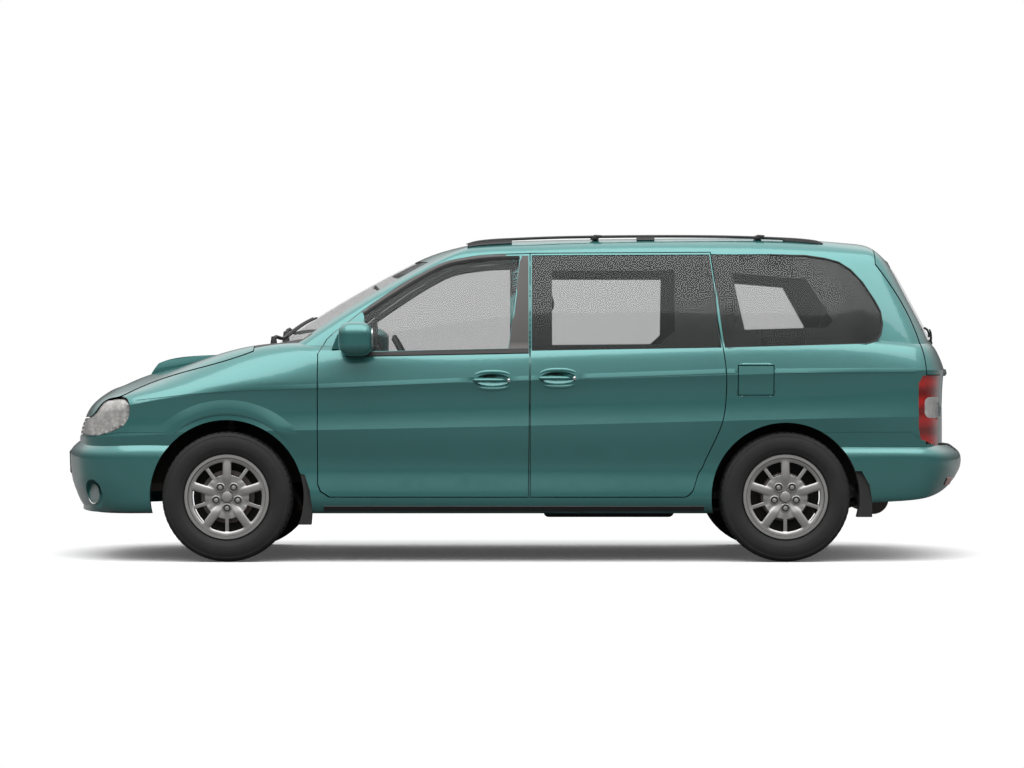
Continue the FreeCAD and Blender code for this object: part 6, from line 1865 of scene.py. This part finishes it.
@dataclass
class Wheels:
    """Tyres with tread, cast rims and brakes."""

    size: WheelSize
    tread_steps: int = 180
    spokes: int = 5

    def build(self) -> None:
        """Make one wheel and copy it to the four places."""
        tyre, rim = self.tyre(), self.rim()
        disc, drum = self.disc(), self.drum()
        for end, x in (("front", FRONT_AXLE_X), ("rear", REAR_AXLE_X)):
            for side in Side:
                place = axle_end(side, x)
                body = "wheel_%s_%s" % (end, side.word)
                tag = "%s_%s" % (end, side.word)
                tyre.twin("tread_tyre_" + tag, place).on(body, "tyre_" + tag)
                rim.twin("cast_rim_" + tag, place).on(body, "rim_" + tag)
                brake = disc if end == "front" else drum
                brake.twin("brake_face_" + tag, place).on(body, "brake_" + tag)
        for master in (tyre, rim, disc, drum):
            bpy.data.objects.remove(master.thing)

    def tyre(self) -> Work:
        """The tyre: beads, side walls with moulded rings, shoulder blocks and grooved tread."""
        side = [
            (0.0835, 0.2115), (0.0870, 0.2200), (0.0905, 0.2262), (0.0935, 0.2290), (0.0962, 0.2300), (0.1000, 0.2380),
            (0.1035, 0.2500), (0.1045, 0.2520), (0.1062, 0.2620), (0.1072, 0.2740), (0.1070, 0.2880), (0.1050, 0.3000),
            (0.1020, 0.3090), (0.0995, 0.3160), (0.1000, 0.3180), (0.0960, 0.3260), (0.0890, 0.3330), (0.0790, 0.3375),
        ]
        tread = [
            (0.0600, 0.3388), (0.0590, 0.3310), (0.0500, 0.3310), (0.0490, 0.3394), (0.0270, 0.3398), (0.0260, 0.3312),
            (0.0150, 0.3312), (0.0140, 0.3399),
        ]
        inner = [(0.0790, 0.2110), (0.0700, 0.2050)]
        right = side + tread
        profile = [(-y, r) for y, r in right] + list(reversed(right))
        profile += [(y, r) for y, r in inner] + [(-y, r) for y, r in reversed(inner)]
        work = Work.turned("tyre_master", profile, self.tread_steps)
        step = 2 * math.pi / self.tread_steps

        def sipe(face: bmesh.types.BMFace) -> bool:
            """Whether a face is the bottom of a cross groove in the tread."""
            centre = face.calc_center_median()
            radius = math.hypot(centre.x, centre.z)
            if radius < 0.3335 or abs(face.normal.y) > 0.75:
                return False
            number = int((math.atan2(centre.z, centre.x) % (2 * math.pi)) / step)
            shoulder = abs(centre.y) > 0.06
            return number % 3 == (0 if shoulder else 1 if centre.y > 0 else 2) and abs(centre.y) > 0.0139

        work.faces(sipe)
        bpy.ops.mesh.extrude_region_shrink_fatten(TRANSFORM_OT_shrink_fatten={"value": -0.006})
        return work.shade(40.0).paint(TREAD)

    def rim(self) -> Work:
        """The cast rim: barrel, lip, spoked face, nut recesses and a bare cap."""
        half = self.size.rim_half
        barrel = Work.turned("rim_barrel", [
            (-half - 0.009, 0.2045), (-half - 0.009, 0.2195), (-half - 0.0055, 0.2205), (-half - 0.001, 0.2195),
            (-half + 0.003, 0.2110), (-0.030, 0.2095), (-0.018, 0.1960), (0.030, 0.1960), (0.042, 0.2095),
            (half - 0.004, 0.2110), (half, 0.2195), (half + 0.008, 0.2200), (half + 0.008, 0.2150),
            (half - 0.002, 0.2060), (0.040, 0.2030), (0.030, 0.1900), (-0.018, 0.1900), (-0.034, 0.2035),
            (-half + 0.006, 0.2045),
        ], 96)
        parts = [barrel.shade(30.0), self.face(), self.cap()]
        for number in range(self.spokes):
            parts += self.nut(math.radians(360.0 / self.spokes * number - 90.0))
        hub = Work.turned("rim_hub", [
            (-0.062, 0.0178), (-0.062, 0.066), (0.014, 0.062), (0.014, 0.0178)], 48)
        return joined("rim_master", parts + [hub.shade(30.0)]).paint(ALLOY, DARK_TRIM)

    def face(self) -> Work:
        """The spoked face: a polar sheet with five wide and five thin spokes, thickened and rounded."""
        radii = [0.030, 0.046, 0.070, 0.092, 0.108, 0.116, 0.135, 0.155, 0.172, 0.181, 0.190, 0.2035]
        wide, thin = 0.0235, 0.0095
        window = range(5, 9)

        def columns(radius: float) -> list[float]:
            """Angles of the sheet's columns across one tenth of the wheel."""
            reach = max(radius, 0.100)
            start = math.asin(min(0.9, wide / reach))
            end = math.radians(36.0) - math.asin(min(0.9, thin / reach))
            gap = (end - start) / 4
            return [0.0, start * 0.7, start] + [start + gap * n for n in (1, 2, 3)] + [end, math.radians(36.0)]

        def height(radius: float, column: int) -> float:
            """Depth of the face at a point: dished, with raised wide spokes."""
            dish = -0.076 - 0.006 * math.sin(math.pi * min(1.0, max(0.0, (radius - 0.05) / 0.15)))
            if radius < 0.050:
                dish += 0.004
            if column <= 1 and 0.088 < radius < 0.188:
                dish -= 0.0070
            if column >= 6 and 0.100 < radius < 0.188:
                dish += 0.004
            if radius > 0.188:
                dish = -0.084
            return dish

        def place(u: float, v: float) -> Point:
            """A point of the sheet at a share across the tenth and a share outwards."""
            column, radius = round(u * 7), radii[round(v * (len(radii) - 1))]
            angle = columns(radius)[column]
            return radius * math.sin(angle), height(radius, column), radius * math.cos(angle)

        def opening(face: bmesh.types.BMFace) -> bool:
            """Whether a face lies in the window between two spokes."""
            centre = face.calc_center_median()
            radius = math.hypot(centre.x, centre.z)
            angle = math.atan2(centre.x, centre.z)
            marks = columns(radius)
            return radii[window[0]] < radius < radii[window[-1] + 1] and marks[2] < angle < marks[6]

        tenth = Work.grid("rim_face", 7, len(radii) - 1, place).faces(opening).erase().leave()
        sector = joined("rim_sector", [tenth, tenth.twin("rim_half", Matrix.Scale(-1, 4, Vector((1, 0, 0))))])
        turns = [sector.twin("rim_sector", spun(360.0 / self.spokes * number)) for number in range(1, self.spokes)]
        face = joined("rim_face", [sector] + turns).merged(0.0002)
        if sum(1 if polygon.normal.y < 0 else -1 for polygon in face.thing.data.polygons) < 0:
            face.thing.data.flip_normals()
        return face.thick(0.016, -1.0).rounded(0.0022, 2, 50.0).softened(1).shade(40.0)

    def cap(self) -> Work:
        """The bare centre cap."""
        cap = Work.turned("rim_cap", [
            (-0.0905, 0.0), (-0.0900, 0.016), (-0.0880, 0.0250), (-0.0840, 0.0285), (-0.0700, 0.0290),
            (-0.0700, 0.0)], 48, closed=False)
        return cap.shade(35.0)

    def nut(self, angle: float) -> list[Work]:
        """One wheel nut in its recess, whose walls take the dark trim as painted shade."""
        place = Matrix.Translation((
            self.size.nut_circle * math.cos(angle), 0.0, self.size.nut_circle * math.sin(angle)))
        ring = Work.turned("nut_ring", [
            (-0.0740, 0.0265), (-0.0800, 0.0258), (-0.0838, 0.0235), (-0.0842, 0.0215), (-0.0820, 0.0198),
            (-0.0740, 0.0190)], 32)
        nut = Work.rod("nut", (0, -0.071, 0), (0, -0.0835, 0), 0.0128, 0.0118, 6).rounded(0.0018, 3)
        pit = Work.rod("nut_pit", (0, -0.060, 0), (0, -0.0800, 0), 0.0205, 0.0200, 32)
        pit.faces(lambda face: face.normal.y < -0.9).inset(0.0030).leave()
        # Painted shade: the pit's walls and floor take the dark trim, where the recess round the nut lies in shade.
        for finish in (ALLOY, DARK_TRIM):
            pit.thing.data.materials.append(finish.build())
        for polygon in pit.thing.data.polygons:
            polygon.material_index = 1
        return [work.moved(place) for work in (ring.shade(50.0), nut.shade(30.0), pit)]

    def disc(self) -> Work:
        """The front brake disc with its vents."""
        disc = Work.turned("disc_master", [
            (-0.042, 0.067), (-0.042, 0.078), (-0.030, 0.080), (-0.030, 0.139), (-0.022, 0.139), (-0.022, 0.131),
            (-0.015, 0.131), (-0.015, 0.139), (-0.007, 0.139), (-0.007, 0.067)], 72)
        return disc.shade(30.0).paint(BRAKE_IRON)

    def drum(self) -> Work:
        """The rear brake drum with cooling ribs."""
        drum = Work.turned("drum_master", [
            (-0.042, 0.067), (-0.042, 0.112), (-0.036, 0.124), (-0.030, 0.1275), (-0.020, 0.1275), (-0.018, 0.123),
            (-0.012, 0.123), (-0.010, 0.1275), (0.008, 0.1275), (0.008, 0.067)], 72)
        return drum.shade(30.0).paint(BRAKE_IRON)


# ---- The remaining solids


def finish_nodes(nodes: dict) -> None:
    """Give every CAD node that stays its material."""
    finishes = {
        "floor_pan": UNDERSEAL, "grille": BLACK_TRIM, "cowl": BLACK_TRIM, "windscreen": GLASS, "headlamps": LENS,
        "tail_lamps": RED_LENS, "side_windows": GLASS, "roof_rack": BLACK_TRIM, "mud_flaps": RUBBER,
        "front_subframe": STEEL, "struts": STEEL, "rear_axle": STEEL, "engine": BRAKE_IRON, "radiator": ALLOY,
        "exhaust": BRAKE_IRON, "fuel_tank": DARK_TRIM, "dashboard": CABIN_TRIM, "seat_frames": STEEL,
        "front_seats": CLOTH, "middle_seats": CLOTH, "rear_bench": CLOTH, "door_window_left": GLASS,
        "door_window_right": GLASS, "mirror_left": PAINT, "mirror_right": PAINT, "tailgate_window": GLASS,
        "steering_wheel": DARK_TRIM, "knuckle_left": BRAKE_IRON, "knuckle_right": BRAKE_IRON,
    }
    for name, finish in finishes.items():
        thing = nodes[name]
        material = finish.build()
        if not thing.data.materials:
            thing.data.materials.append(material)
        for slot in thing.material_slots:
            slot.material = material


def main() -> None:
    """Build the sub-assemblies in order."""
    logging.basicConfig(level=logging.INFO, format="%(name)s %(message)s")
    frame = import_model()
    nodes = frame["nodes"]
    bpy.context.scene.view_settings.view_transform = "Standard"
    Studio().build()
    finish_nodes(nodes)
    Panels().build(nodes)
    FlankTrim().build(nodes)
    Lamps().build(nodes)
    RoofRack().build(nodes)
    Ends().build(nodes)
    Cabin().build()
    Underside().build()
    Wheels(WheelSize()).build()


if __name__ == "__main__":
    main()
